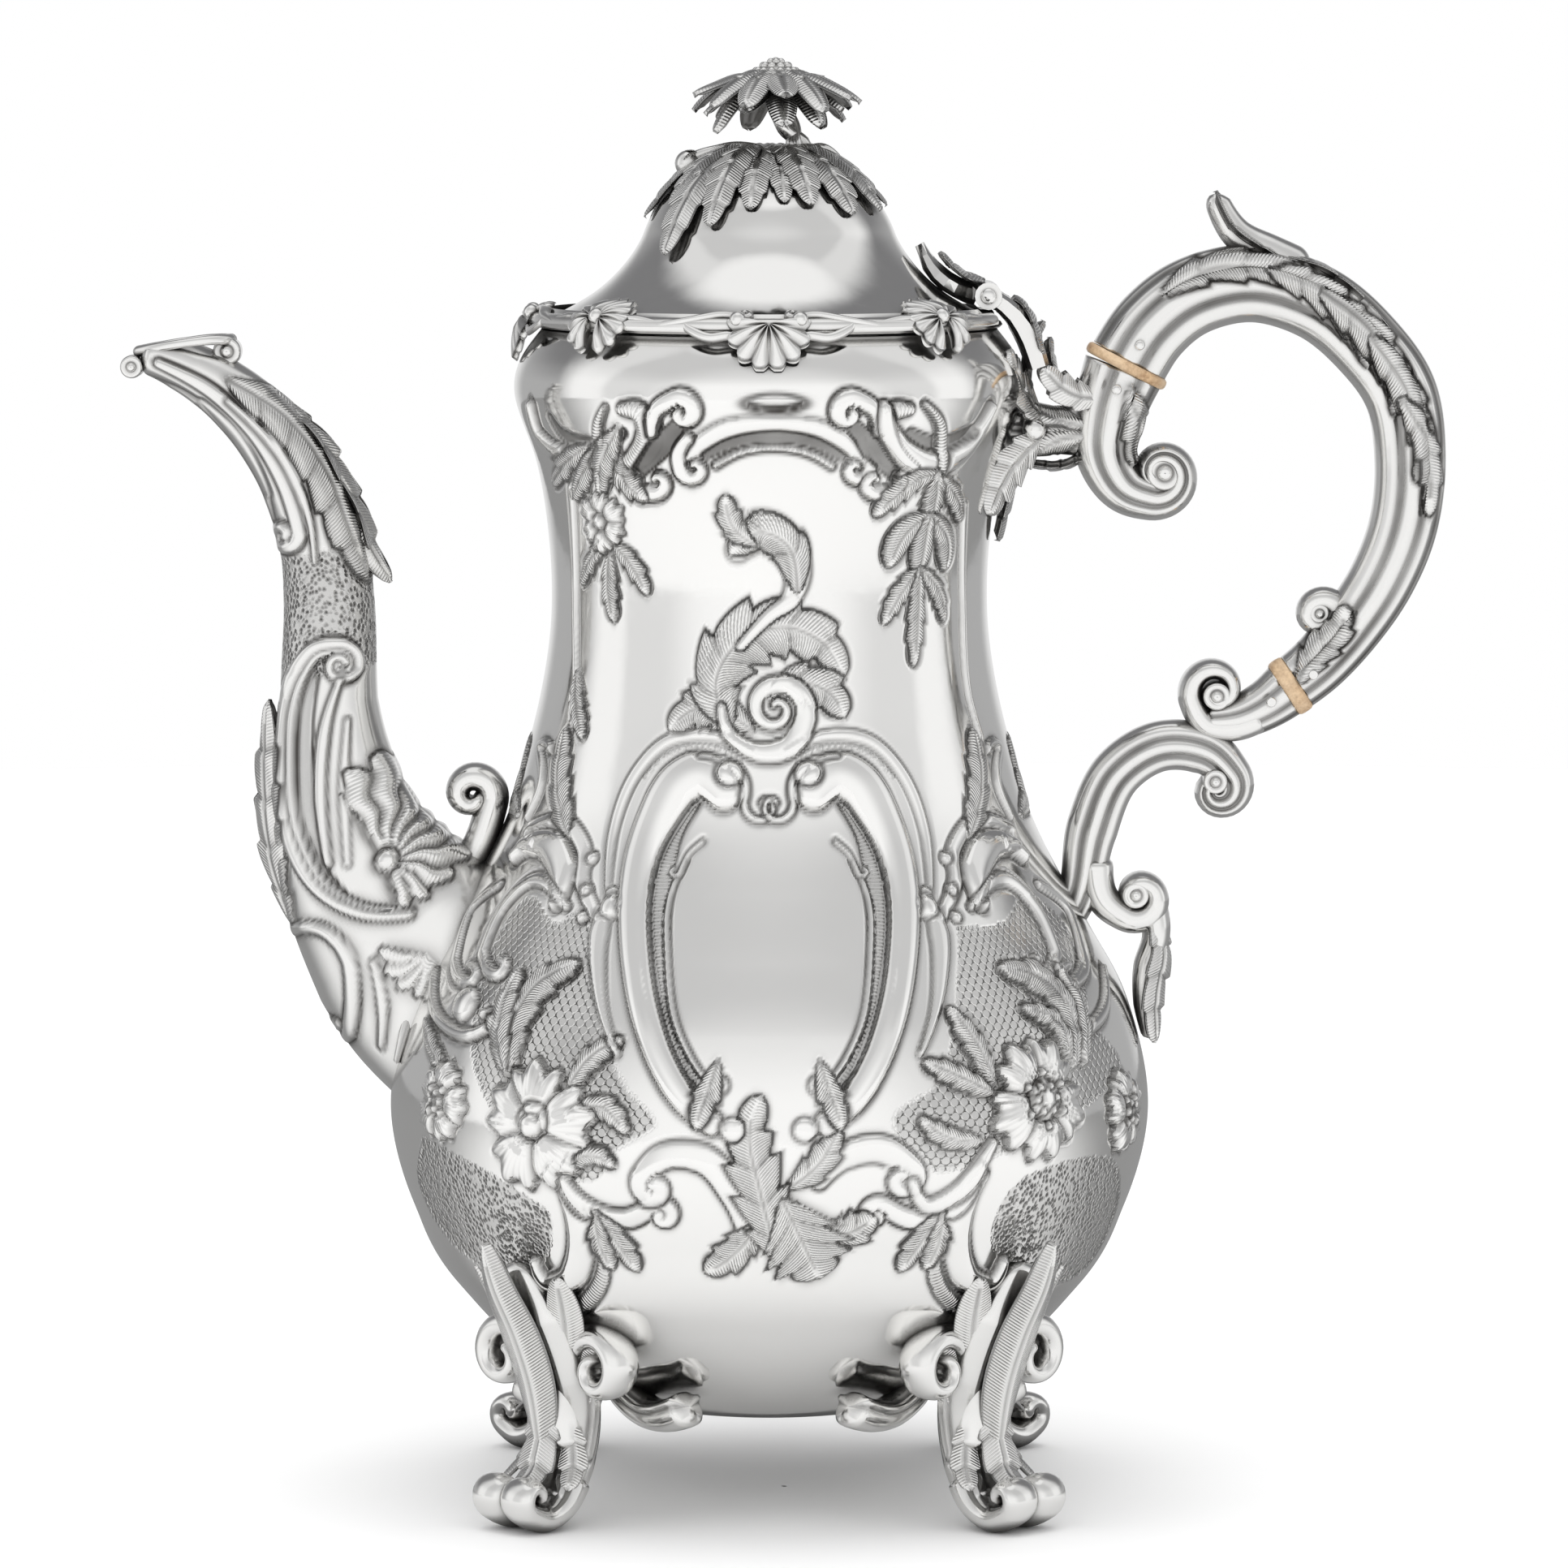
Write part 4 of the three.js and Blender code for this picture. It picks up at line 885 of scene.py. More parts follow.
def chase_neck(b):
    """The vent eye, the arch under it, and the garlands either side."""
    b.boss((1.1, 203.8), (5.2, 1.7), 0.7, edge=0.7)
    b.ridge([(-3.4, 203.5), (1.1, 202.9), (5.6, 203.5)], (0.4, 0.9, 0.4), -0.5, edge=0.9, dark=0.9)
    b.ridge([(-14.1, 194.6), (-8.3, 198.8), (0.9, 200.2), (10.1, 198.7), (17.1, 193.6)],
            (3.4, 3.8, 3.0, 3.8, 3.4), 0.7, edge=0.4)
    b.ridge([(-11.2, 194.4), (-6, 196.7), (0.9, 197.6), (7.8, 196.7), (13, 194)], (1.2, 2.0, 2.2, 2.0, 1.2),
            -0.4, "flat", edge=0.8, dark=0.8)
    b.ridge([(-9.5, 192.6), (-4.9, 195), (0.9, 195.8), (6.7, 194.9), (11.3, 192.4)], 1.5, 0.35, edge=0.9)
    b.beads([(-9.5, 192.6), (-4.9, 195), (0.9, 195.8), (6.7, 194.9), (11.3, 192.4)], 0.9, 0.42, 0.35)
    b.ridge(curled([(-14.6, 197.5), (-16.2, 195), (-15.8, 191.6)], 2.5, side=1, turns=0.75),
            (2.4, 3.0, 3.2, 2.6, 1.4), 1.1, edge=0.85)
    b.ridge(curled([(17.2, 196.4), (18.4, 194), (18, 191.4)], 2.5, side=-1, turns=0.75),
            (2.4, 3.0, 3.2, 2.6, 1.4), 1.1, edge=0.85)
    for s, shift in ((-1, 0.0), (1, 1.2)):
        b.ridge(moved([(26.4, 191.9), (22.8, 194.4), (21.4, 198.2), (23.2, 202), (26.3, 202.5)], s, shift),
                (2.8, 5.0, 5.6, 4.6, 2.4), 1.5, edge=0.85, milled=0.35)
        b.ridge(moved([(15.8, 200.4), (19, 196.4), (23.4, 191)], s, shift), (2.0, 3.8, 2.0), -0.4, "flat",
                edge=0.95, dark=0.8)
        b.ridge(curled(moved([(20.6, 198.5), (20.1, 202.4), (16.6, 204.6)], s, shift), 2.8, side=s,
                       turns=0.85), (2.0, 3.2, 3.8, 3.4, 2.0), 1.35, edge=0.9)
        b.ridge(curled(moved([(25.2, 191.2), (23.6, 187.8), (20, 187.4)], s, shift), 2.2, side=-s, turns=0.6),
                (1.8, 3.2, 3.4, 2.6, 1.4), 1.1, edge=0.85)
    b.ridge([(-43.1, 202.2), (-41.6, 196.8), (-38, 193.4), (-32.4, 192.6)],
            (2.6, 4.6, 5.0, 3.4), 1.3, edge=0.85)
    b.ridge([(-39.7, 200.1), (-37.3, 197), (-33.4, 195.6), (-29.3, 196.2), (-26.3, 198.1)],
            (1.4, 2.6, 2.8, 2.6, 1.4), -0.4, "flat", edge=0.9, dark=0.8)
    b.ridge([(20.5, 203), (21.1, 199.1), (24.7, 194.3), (29.4, 192.3), (34.7, 194.1), (38.3, 199),
             (40, 202.4)], (2.6, 4.6, 5.4, 5.4, 5.0, 3.8, 2.0), 1.5, edge=0.85)
    b.ridge([(25.5, 198.1), (30.6, 195.9), (36.5, 198)], (1.6, 2.8, 1.6), -0.4, "flat", edge=0.9, dark=0.8)
    b.ridge([(28, 203.4), (30.6, 200), (31, 195), (30.4, 190)], (1.2, 2.2, 2.8, 2.2), 1.1,
            edge=0.8, milled=0.5)
    b.ridge([(-29.6, 202.6), (-30.8, 199), (-30.2, 193), (-29, 189.6)], (1.2, 2.2, 2.8, 2.2), 1.1,
            edge=0.8, milled=0.5)
    b.leaf([(-28, 196), (-33, 191), (-35.4, 185)], 3.0, 0.9, lobes=4)
    b.leaf([(-28, 196.4), (-26.4, 190.4), (-21.4, 186)], 3.0, 0.9, lobes=4)
    b.leaf([(-33, 195.4), (-36.6, 192), (-39.4, 187.6)], 2.4, 0.7, lobes=3)
    b.leaf([(-27, 199), (-29.6, 193), (-30.2, 186.4)], 3.0, 1.0, lobes=3)
    for path, half in (([(-29.7, 178), (-32.4, 174), (-34, 169.6)], 1.9),
                       ([(-28.1, 178), (-24.6, 174), (-21.6, 168.6)], 2.2),
                       ([(-28.6, 176), (-28.8, 169), (-27.8, 163.4)], 2.4)):
        b.leaf(path, half, 0.8, lobes=3)
    b.flower((-30.3, 181.7), 5.6, 1.1, petals=6, core=0.28)
    b.ridge([(-36, 187), (-35.4, 176), (-35.2, 164), (-35, 153)], (2.4, 1.8, 1.6, 1.0), 0.5, edge=0.45)
    b.leaf([(-34.6, 154), (-34.8, 148), (-33.6, 142)], 2.4, 0.9, lobes=4)
    b.ridge([(35.4, 184), (35.2, 167), (36, 151), (38.4, 142)], (2.2, 1.8, 1.6, 1.0), 0.5, edge=0.45)

    for path, half in (([(30, 191), (24.4, 188.4), (18.6, 183)], 2.8),
                       ([(30.2, 190), (33.4, 186), (34.4, 181)], 2.4),
                       ([(30, 191), (29.6, 186), (28.4, 180.6)], 3.0)):
        b.leaf(path, half, 1.05, lobes=4)
    for path in ([(28.4, 183), (24, 179.6), (21.2, 173.8)], [(28.6, 183), (31.6, 178.6), (31.4, 172.6)],
                 [(28.4, 183), (27.6, 178), (26.6, 172.4)]):
        b.leaf(path, 2.5, 1.1, lobes=0, blunt=0.5)
    for path, half in (([(27, 173.4), (23.6, 169), (20.4, 163.4)], 2.2),
                       ([(27, 173.4), (30.4, 169), (31.6, 163)], 2.1),
                       ([(26.8, 173), (26.6, 165), (26, 155.4)], 2.3)):
        b.leaf(path, half, 0.8, lobes=4)


def chase_shoulders(b):
    """The scale-chased grounds each side of the cartouche, with their kidney scrolls and poppies."""
    b.ground([(-49, 107), (-43, 114), (-39, 110), (-33, 113), (-31.4, 102), (-29, 91), (-25, 83),
              (-20, 77), (-27, 72), (-31, 66), (-43, 70), (-53, 84), (-52, 100)], "scales")
    b.ground([(34, 110), (43, 110), (46, 114), (52, 110), (57, 101), (58, 92), (64, 82), (51, 74),
              (40, 70), (29, 68), (22, 78), (30, 84), (33, 95)], "scales")
    b.ground([(-63, 70), (-51, 66), (-43, 62), (-39, 59), (-41, 49), (-48, 46), (-58, 50),
              (-64, 60)], "stipple")
    b.ground([(42, 62), (47, 66), (62, 66), (64, 56), (58, 44), (50, 43), (43, 48), (40, 55)], "stipple")
    for s, flip in SIDES:
        b.ridge(curled(flip([(-31, 112), (-33.6, 117.4), (-33.4, 123), (-37.4, 127.4), (-43.6, 125.6)]), 2.6,
                       side=s, turns=0.6), (2.6, 3.2, 3.2, 3.0, 2.6, 1.8), 0.95, "lean", edge=0.8)
        b.ridge(flip([(-45.8, 120), (-43, 122.6), (-39.6, 122.8), (-37.2, 119), (-38.2, 113.4)]),
                (3.0, 5.4, 6.8, 6.6, 3.4), 1.9, edge=0.9)
        b.leaf(flip([(-36, 125), (-38, 133), (-36.6, 144)]), 3.6, 1.0, lobes=4, edge=0.8)
        b.ridge(curled(flip([(-44, 127), (-41.4, 134), (-42, 139)]), 1.7, side=-s, turns=0.6),
                (1.2, 2.4, 2.2, 1.4), 0.8, edge=0.7)
        b.leaf(flip([(-46, 127), (-48.6, 133.6), (-46, 141)]), 2.6, 0.7, lobes=3)
        for centre in ((-31.8, 121.7), (-32.9, 116.1), (-33.7, 111.6)):
            b.boss(flip([centre])[0], 1.2, 0.7)
        b.ridge(curled(flip([(-36.4, 113), (-42, 117), (-48, 112), (-52, 103.6)]), 3.2, side=s, turns=0.7),
                (1.6, 3.0, 3.4, 3.0, 2.0), 1.0, "lean", edge=0.8)
        b.ridge(curled(flip([(-49, 115), (-54.4, 110), (-57.4, 101)]), 3.0, side=s, turns=0.8),
                (2.0, 3.0, 3.0, 1.8), 1.0, "lean", edge=0.8)
        b.boss(flip([(-55, 94.6)])[0], (3.6, 3.4), 1.5)
        b.ridge(curled(flip([(-61, 99), (-60.6, 92), (-55.6, 89.4), (-50.4, 91.6)]), 1.8, side=s, turns=0.5),
                (1.6, 2.8, 2.8, 1.8), 1.0, edge=0.8)


def chase_poppies(b):
    """The open poppies with their buds and pointed leaves on each side."""
    for path, half in (([(-46, 84), (-45.6, 92), (-41.6, 99), (-33.6, 104)], 4.2),
                       ([(-47, 84), (-48, 93), (-44.4, 102)], 3.6),
                       ([(-35.6, 82), (-31.4, 88), (-25.6, 91.6)], 2.6),
                       ([(-34.6, 78), (-29.6, 79.6), (-25, 75)], 2.6),
                       ([(-56, 80), (-60.4, 85), (-62.4, 91)], 2.2),
                       ([(-36, 68), (-31.6, 71), (-27, 69)], 2.2),
                       ([(55, 84), (54, 93), (49, 99.4), (41, 102.4)], 4.2),
                       ([(57, 84), (56, 94), (51, 102)], 2.6),
                       ([(54, 86), (51, 92.4), (45, 95.4)], 2.4),
                       ([(40, 83), (36.6, 90), (31.6, 96.8)], 2.8),
                       ([(40, 81), (33.6, 84.6), (27, 87.6)], 2.6),
                       ([(38, 73), (32, 74), (26.4, 78)], 2.4)):
        b.leaf(path, half, 1.2, lobes=4, edge=0.8)
    b.flower((-59.1, 77.3), 7.2, 1.7, petals=5, core=0.3, turn=0.6, seeds=8)
    b.flower((-41.6, 75.2), 11.4, 2.2, petals=5, core=0.2, turn=0.3, ruffle=0.09)
    b.boss((-41.2, 76.4), 3.2, 1.2, keep=0.8)
    b.flower((64.6, 74.2), 7.4, 1.7, petals=5, core=0.3, turn=0.2, seeds=8)
    b.flower((48.4, 79.2), 10.9, 2.2, petals=5, core=0.34, turn=0.9, ruffle=0.09, seeds=12)


def chase_base(b):
    """The scrolls, acanthus and leaves below the cartouche."""
    for s, flip in SIDES:
        b.ridge(flip([(-30, 55), (-29.8, 48), (-33, 42.6), (-38.4, 41)]), (2.0, 3.0, 3.2, 1.8), 0.8, "lean",
                edge=0.7, dark=0.25, milled=0.5)
        b.ridge(flip([(-38, 67), (-34.8, 61), (-33.6, 53.4), (-35.6, 47.2), (-39.8, 45.8), (-42, 49.6)]),
                (3.0, 4.8, 5.8, 5.8, 4.4, 2.4), 1.4, edge=0.85)
        b.ridge(curled(flip([(-37.6, 68.6), (-33.6, 62), (-26, 59.4), (-20.4, 62.4)]), 2.4, side=-s,
                       turns=0.9), (1.8, 3.8, 4.2, 3.4, 2.2), 1.15, "lean", edge=0.85)
        b.leaf(flip([(-31, 61), (-27.4, 56), (-23, 49.6)]), 3.0, 0.8, lobes=3)
        b.leaf(flip([(-30.6, 60), (-30, 55), (-27.6, 49.6)]), 2.4, 0.7, lobes=3)
    b.ridge(curled([(-5, 52), (-4, 57.6), (-6.4, 65), (-11.4, 71), (-18.4, 71.4), (-22.6, 67.4)], 2.8, side=1,
                   turns=0.9), (2.2, 3.8, 5.0, 5.4, 4.8, 3.8, 2.6), 1.2, "lean", edge=0.8)
    b.ridge(curled([(9, 67), (13.6, 71.6), (20, 72.6), (25.4, 69)], 2.6, side=-1, turns=0.9),
            (3.0, 5.0, 5.2, 4.4, 2.6), 1.2, "lean", edge=0.8)
    b.ridge([(25.4, 66.4), (28, 62), (34, 64.4), (40, 72.4)], (2.0, 3.4, 3.6, 2.0), 0.9, edge=0.8)
    b.leaf([(3.4, 66), (9, 70.6), (12.4, 77)], 3.0, 0.75, lobes=3)
    b.leaf([(-1.4, 60), (-7, 53), (-11.6, 50)], 3.6, 0.7, lobes=3)
    b.leaf([(8, 58), (13.6, 57.6), (19, 60.6)], 4.0, 0.8, lobes=3)
    b.leaf([(2, 52), (-1.6, 66), (-3.4, 76), (-1.2, 82.6)], 5.4, 1.05, lobes=5, cut=0.42)
    b.leaf([(2.4, 64), (5.6, 57), (9, 49)], 8.4, 1.05, lobes=4, cut=0.42)


def body_relief():
    """The chasing over the front half of the wall, which the back repeats."""
    columns = 481
    angle = np.linspace(-math.pi / 2, math.pi / 2, columns)
    rows = len(PROFILE)
    chart = np.stack(np.broadcast_arrays(angle[None], PROFILE_RUN[:, None]), -1).reshape(-1, 2)
    radius = np.broadcast_to(np.maximum(PROFILE[:, :1], 1.0), (rows, columns)).reshape(-1)
    b = Relief(chart, np.stack([radius, np.ones_like(radius)], 1), body_place)
    chase_shoulders(b)
    chase_base(b)
    chase_poppies(b)
    chase_neck(b)
    chase_cartouche(b)
    chase_crest(b)
    # painted shade in the low places beside the raised ornament
    b.paint_recess_shade(rows, columns)
    return b, angle, rows, columns


def make_body():
    """The raised body in quarter shells, so that each stays a handy size, and its plain inside."""
    b, angle, rows, columns = body_relief()
    slope = np.gradient(PROFILE, axis=0)
    slope /= np.linalg.norm(slope, axis=1, keepdims=True)
    out_r, out_z = slope[:, 1:], -slope[:, :1]
    lift = b.height.reshape(rows, columns)
    r = PROFILE[:, :1] + out_r * lift
    z = np.broadcast_to(PROFILE[:, 1:], lift.shape) + out_z * lift
    front_y = r * np.cos(angle)
    past = front_y - WIDEST_Y + FLATTENED_OVER
    front_y = np.where(past > 0, WIDEST_Y - FLATTENED_OVER * np.exp(-past / FLATTENED_OVER), front_y)
    x = r * np.sin(angle)
    front = np.stack([x, -front_y, z], -1)
    back = np.stack([x, front_y, z], -1)
    ring = np.concatenate([front[:, :-1], back[:, :0:-1]], 1)
    normal = grid_normals(ring, True)
    outward = (normal[rows // 2, 0] @ np.array([-1.0, 0, 0])) > 0
    normal = normal if outward else -normal
    half = columns // 2
    attributes = {k: v.reshape(rows, columns, 3) for k, v in b.attributes(
        np.stack([b.chart[:, 0] * CHART_RADIUS, b.chart[:, 1]], 1)).items()}
    ring_extra = {k: np.concatenate([v[:, :-1], v[:, :0:-1]], 1) for k, v in attributes.items()}
    total = ring.shape[1]
    for k, name in enumerate(("front_left", "front_right", "back_right", "back_left")):
        pick = np.arange(k * half, (k + 1) * half + 1) % total
        faces = grid_faces(rows, half + 1)
        faces = faces if outward else faces[:, ::-1]
        piece = Piece().add(ring[:, pick], faces,
                            {key: v[:, pick].reshape(-1, 3) for key, v in ring_extra.items()},
                            normal[:, pick].reshape(-1, 3))
        piece.make("body_" + name, SHEET, "pot", "silver_sheet",
                   ["body_base", "body_belly", "body_neck"] if k == 0 else ())
    inner = (PROFILE - np.hstack([out_r, out_z]) * WALL_THICKNESS)[PROFILE[:, 1] < 213]
    inner[:, 0] = np.maximum(inner[:, 0], 0)
    inside = Piece()
    turned(inside, [*inner[::12], (MOUTH_RADIUS, 213.4), (MOUTH_RADIUS, 215.3), (40.4, SEAT_Z),
                    (42, SEAT_Z)], step=0.9)
    inside.make("body_inside", INSIDE, "pot", "silver_sheet")


# ---------------------------------------------------------------- spout

SPOUT_PATH = [(-52, 90), (-60, 96), (-67, 104), (-74, 114), (-78.5, 124), (-81, 138), (-81.3, 150),
              (-81.2, 165), (-82.5, 176.7), (-87.9, 190.2), (-97.2, 201.9), (-107, 208.4),
              (-115.6, 210.8)]
SPOUT_THICK = [(0, 24), (0.14, 20.5), (0.3, 13.5), (0.46, 9.0), (0.66, 8.0), (0.86, 6), (0.95, 4.6), (1, 3.2)]
SPOUT_WIDE = [(0, 16.6), (0.15, 15.6), (0.3, 11.8), (0.5, 8.6), (0.8, 7.2), (0.93, 6.2), (1, 4.4)]
SPOUT_WALL = 1.3
LIP = ((-103, 213.4), (-116, 211.5))     # the sloping rim of the mouth


def chase_spout(r):
    """The scrolls, shell and leaves of the spout, as seen from its side."""
    r.ground([(-93, 173), (-70, 174), (-69, 156), (-93, 154)], "stipple", depth=0.5)
    r.ridge([(-117, 207), (-107.6, 203), (-99, 196), (-94, 187), (-91.6, 178)],
            (1.4, 2.0, 2.2, 2.2, 2.0), 0.8)
    r.ridge(curled([(-112, 209.4), (-102.4, 204.4), (-94, 196.4), (-88.6, 187), (-86.2, 178.6)], 3.0,
                   side=-1, turns=1.1), (1.8, 2.6, 3.0, 3.2, 3.2, 2.8, 2.0), 1.2, edge=0.8)
    r.ridge([(-104, 202), (-97, 194.6), (-92.4, 185.4)], (1.4, 2.6, 1.4), -0.4, edge=0.5)
    r.leaf([(-99, 206), (-89, 199), (-81.6, 189), (-77.4, 178), (-73.4, 169)], 4.6, 1.2, lobes=6)
    r.ridge([(-99, 202.6), (-89.6, 193), (-84.6, 182), (-83.4, 173)], (1.0, 1.8, 1.8, 1.0), 0.9)
    r.ridge([(-78.6, 112), (-83.6, 118), (-86, 130), (-86, 143), (-84, 152)],
            (2.0, 4.0, 4.6, 4.4, 2.4), -0.9, edge=0.9)
    r.ridge(curled([(-66, 109), (-75, 109.4), (-83, 114), (-88.2, 124), (-89.4, 137), (-88, 149),
                    (-83.6, 156.6), (-78.8, 157.6)], 3.4, side=-1, turns=1.1),
            (2.4, 3.4, 4.0, 4.0, 4.0, 3.8, 3.2, 2.4), 1.3, "step", edge=0.85)
    r.ridge([(-81, 118), (-82.4, 130), (-81.6, 142), (-79, 151)], (1.6, 2.4, 2.4, 1.4), 0.9, edge=0.7)
    r.ridge([(-77.4, 118), (-78, 132), (-77.4, 144)], (1.4, 2.2, 1.2), 0.5, edge=0.5)
    r.leaf([(-88, 104), (-91.6, 115), (-92.6, 129), (-91.4, 147)], 3.4, 1.1, lobes=6)
    r.shell((-70.2, 118.4), (9, 10, 11, 15, 17, 18, 19, 20, 17), -75, 125, 9, 2.4, edge=1.0)
    r.boss((-70.2, 118.4), 2.1, 2.2)
    r.shell((-62, 101), (10, 9, 8, 8), 165, 290, 5, 1.0)
    r.ridge(curled([(-90, 99), (-88, 104.6), (-82.4, 105.6), (-77.6, 101), (-76.6, 93), (-77.6, 86)], 2.8,
                   side=-1, turns=1.0), (1.6, 2.4, 2.8, 3.0, 3.0, 2.6, 1.8), 1.1, edge=0.85)
    r.ridge([(-72.6, 100), (-71, 92), (-71.4, 84)], (1.4, 2.2, 1.2), 0.7, edge=0.7)


def below_lip(points, faces, extra):
    """Drops the faces that lie wholly above the sloping rim of the mouth."""
    (x0, z0), (x1, z1) = LIP
    flat = points.reshape(-1, 3)
    limit = z0 + (flat[:, 0] - x0) * (z1 - z0) / (x1 - x0)
    above = (flat[:, 2] > limit) & (flat[:, 0] < x0 + 2.6)
    flat = flat.copy()
    faces = faces[~above[faces].all(1)]
    flat[above, 2] = np.minimum(flat[above, 2], limit[above])
    return flat, faces, extra


def make_spout():
    """The spout with its bore, lip, leaves and the seam where it meets the body."""
    bar = Bar(SPOUT_PATH, SPOUT_THICK, SPOUT_WIDE, step=0.5, around=150, square=2.15, caps=(0, 2.0))
    chase_spout(bar.relief)
    spout = Piece()
    spout.add(*below_lip(*bar.surface()))
    bore_thick, bore_wide = ([(share, size - SPOUT_WALL) for share, size in sizes]
                             for sizes in (SPOUT_THICK, SPOUT_WIDE))
    bore = Bar(SPOUT_PATH, bore_thick, bore_wide, step=1.2, around=60, square=2.15, caps=(0, 2.6))
    # painted shade inside the spout's bore
    bore.relief.dark += 0.5
    points, faces, extra = bore.surface()
    spout.add(*below_lip(points, faces[:, ::-1], extra))
    rim = [(-116.6, 0, 211.2), (-113, 3.4, 212.0), (-108, 5.0, 212.9), (-103, 4.6, 213.5),
           (-99.8, 2.6, 213.5), (-98.8, 0, 213.4)]
    for s in (1, -1):
        tube(spout, [(x, y * s, z) for x, y, z in rim], (1.1, 0.9, 0.8, 0.9, 1.2), up=(0, 0, 1))
    scroll_end(spout, (-99.6, 211.4), 2.6, 3.2)
    scroll_end(spout, (-117.1, 208.6), 2.1, 4.4)
    leaf_blade(spout, [(-92, 0, 205), (-83, 0, 195.6), (-76.4, 0, 184), (-72.6, 0, 174), (-69.8, 0, 168.8)],
               6.4, (1, 0, 0.6), lobes=6, cup=0.12, ruffle=0.25)
    for s in (1, -1):
        leaf_blade(spout, [(-87.4, 3 * s, 105), (-91.4, 3.6 * s, 117), (-92.8, 3.4 * s, 130),
                           (-92.4, 2 * s, 147)], 4.4, (-0.8, 0.6 * s, 0), lobes=5, cup=0.2,
                   ruffle=0.2, thick=1.2)
        leaf_blade(spout, [(-92, 2 * s, 204), (-83.4, 3.4 * s, 194.4), (-77, 3.6 * s, 183),
                           (-73, 2.6 * s, 174), (-69.8, 1.0 * s, 168.8)], 4.8, (0.75, 0.65 * s, 0.3), lobes=5,
                   cup=0.2, ruffle=0.25, thick=1.2)
    Bar(curled([(-60.6, 105), (-57, 113.4), (-53.2, 121.6), (-51, 128.4)], 4.1, side=1, turns=1.15),
        (2.8, 3.0, 3.0, 2.6, 1.7), (3.6, 4.4, 4.6, 4.6), step=0.5, around=32).into(spout)
    for s in (1, -1):
        seam = [(-57.4, 112), (-60, 105), (-63.6, 97), (-66.6, 88), (-68.6, 81)]
        line = []
        for x, z in seam:
            radius = float(np.interp(z, WALL_Z, WALL_R)) + 0.6
            line.append((x, s * math.sqrt(max(radius ** 2 - x * x, 0)), z))
        tube(spout, line, (1.2, 1.9, 1.7, 1.4, 0.6), lobes=2, groove=0.15)
    spout.make("spout_chased", CAST, "pot", "silver_cast", ["spout"])


DRUM_SIDES = 40


def scroll_end(piece, centre, radius, half):
    """The rolled end of a scroll: a short drum with domed faces and a button at each side."""
    face = [(0.03, 0.75), (0.28, 0.6), (0.4, 0.05), (0.5, -0.3), (0.8, -0.1), (0.95, -0.5), (1, -1.2)]
    near_side = [(radius * r, half + h) for r, h in face]
    line = smooth_path(near_side + [(radius, 0)] + [(r, -h) for r, h in near_side[::-1]], 0.35)
    angle = round_angles(DRUM_SIDES)
    r, h = line[:, :1], line[:, 1:]
    x, z = centre
    points = np.stack(np.broadcast_arrays(x + r * np.cos(angle), h, z + r * np.sin(angle)), -1)
    faces = facing(grid_faces(len(line), DRUM_SIDES, True), points, points - [x, 0, z], True)
    groove = 0.8 * np.exp(-((r / radius - 0.47) / 0.09) ** 2)
    piece.add(points, faces, tones(groove, len(line), DRUM_SIDES))


# ---------------------------------------------------------------- handle

GRIP_PATH = [(65.9, 209.1), (70.5, 216), (77.6, 221.4), (88.8, 223.8), (100.8, 220.2), (109.8, 212.7),
             (116.1, 203.7), (118, 191.7), (116.9, 179.7), (113.3, 170), (107.6, 161), (101.6, 154),
             (96.6, 149.9)]
# A ring's centre, its axis, its half sizes in the handle's plane and across it, and half its length.
UPPER_RING = ((65.7, 208.7), (0.46, 0.888), 7.8, 7.4, 1.0)
LOWER_RING = ((96.2, 149.6), (0.835, 0.55), 5.4, 5.2, 1.5)
FLUTES = ((0.42, 0.13), (-0.3, 0.13), (0.86, 0.08))
RING_SIDES = 72
RIVET_STEP = 4.6         # from the middle of a ring to each rivet beside it


def ring_cut(points, ring, sign):
    """Moves points along a ring's axis so that they stop at the ring's face."""
    (x, z), (ax, az), _, _, half = ring
    step = (points[..., 0] - x) * ax + (points[..., 2] - z) * az
    beside = np.hypot(points[..., 0] - x, points[..., 2] - z) < 14
    push = np.where(beside & (sign * step < half), half * sign - step, 0.0)
    cut = points.copy()
    cut[..., 0] += push * ax
    cut[..., 2] += push * az
    return cut


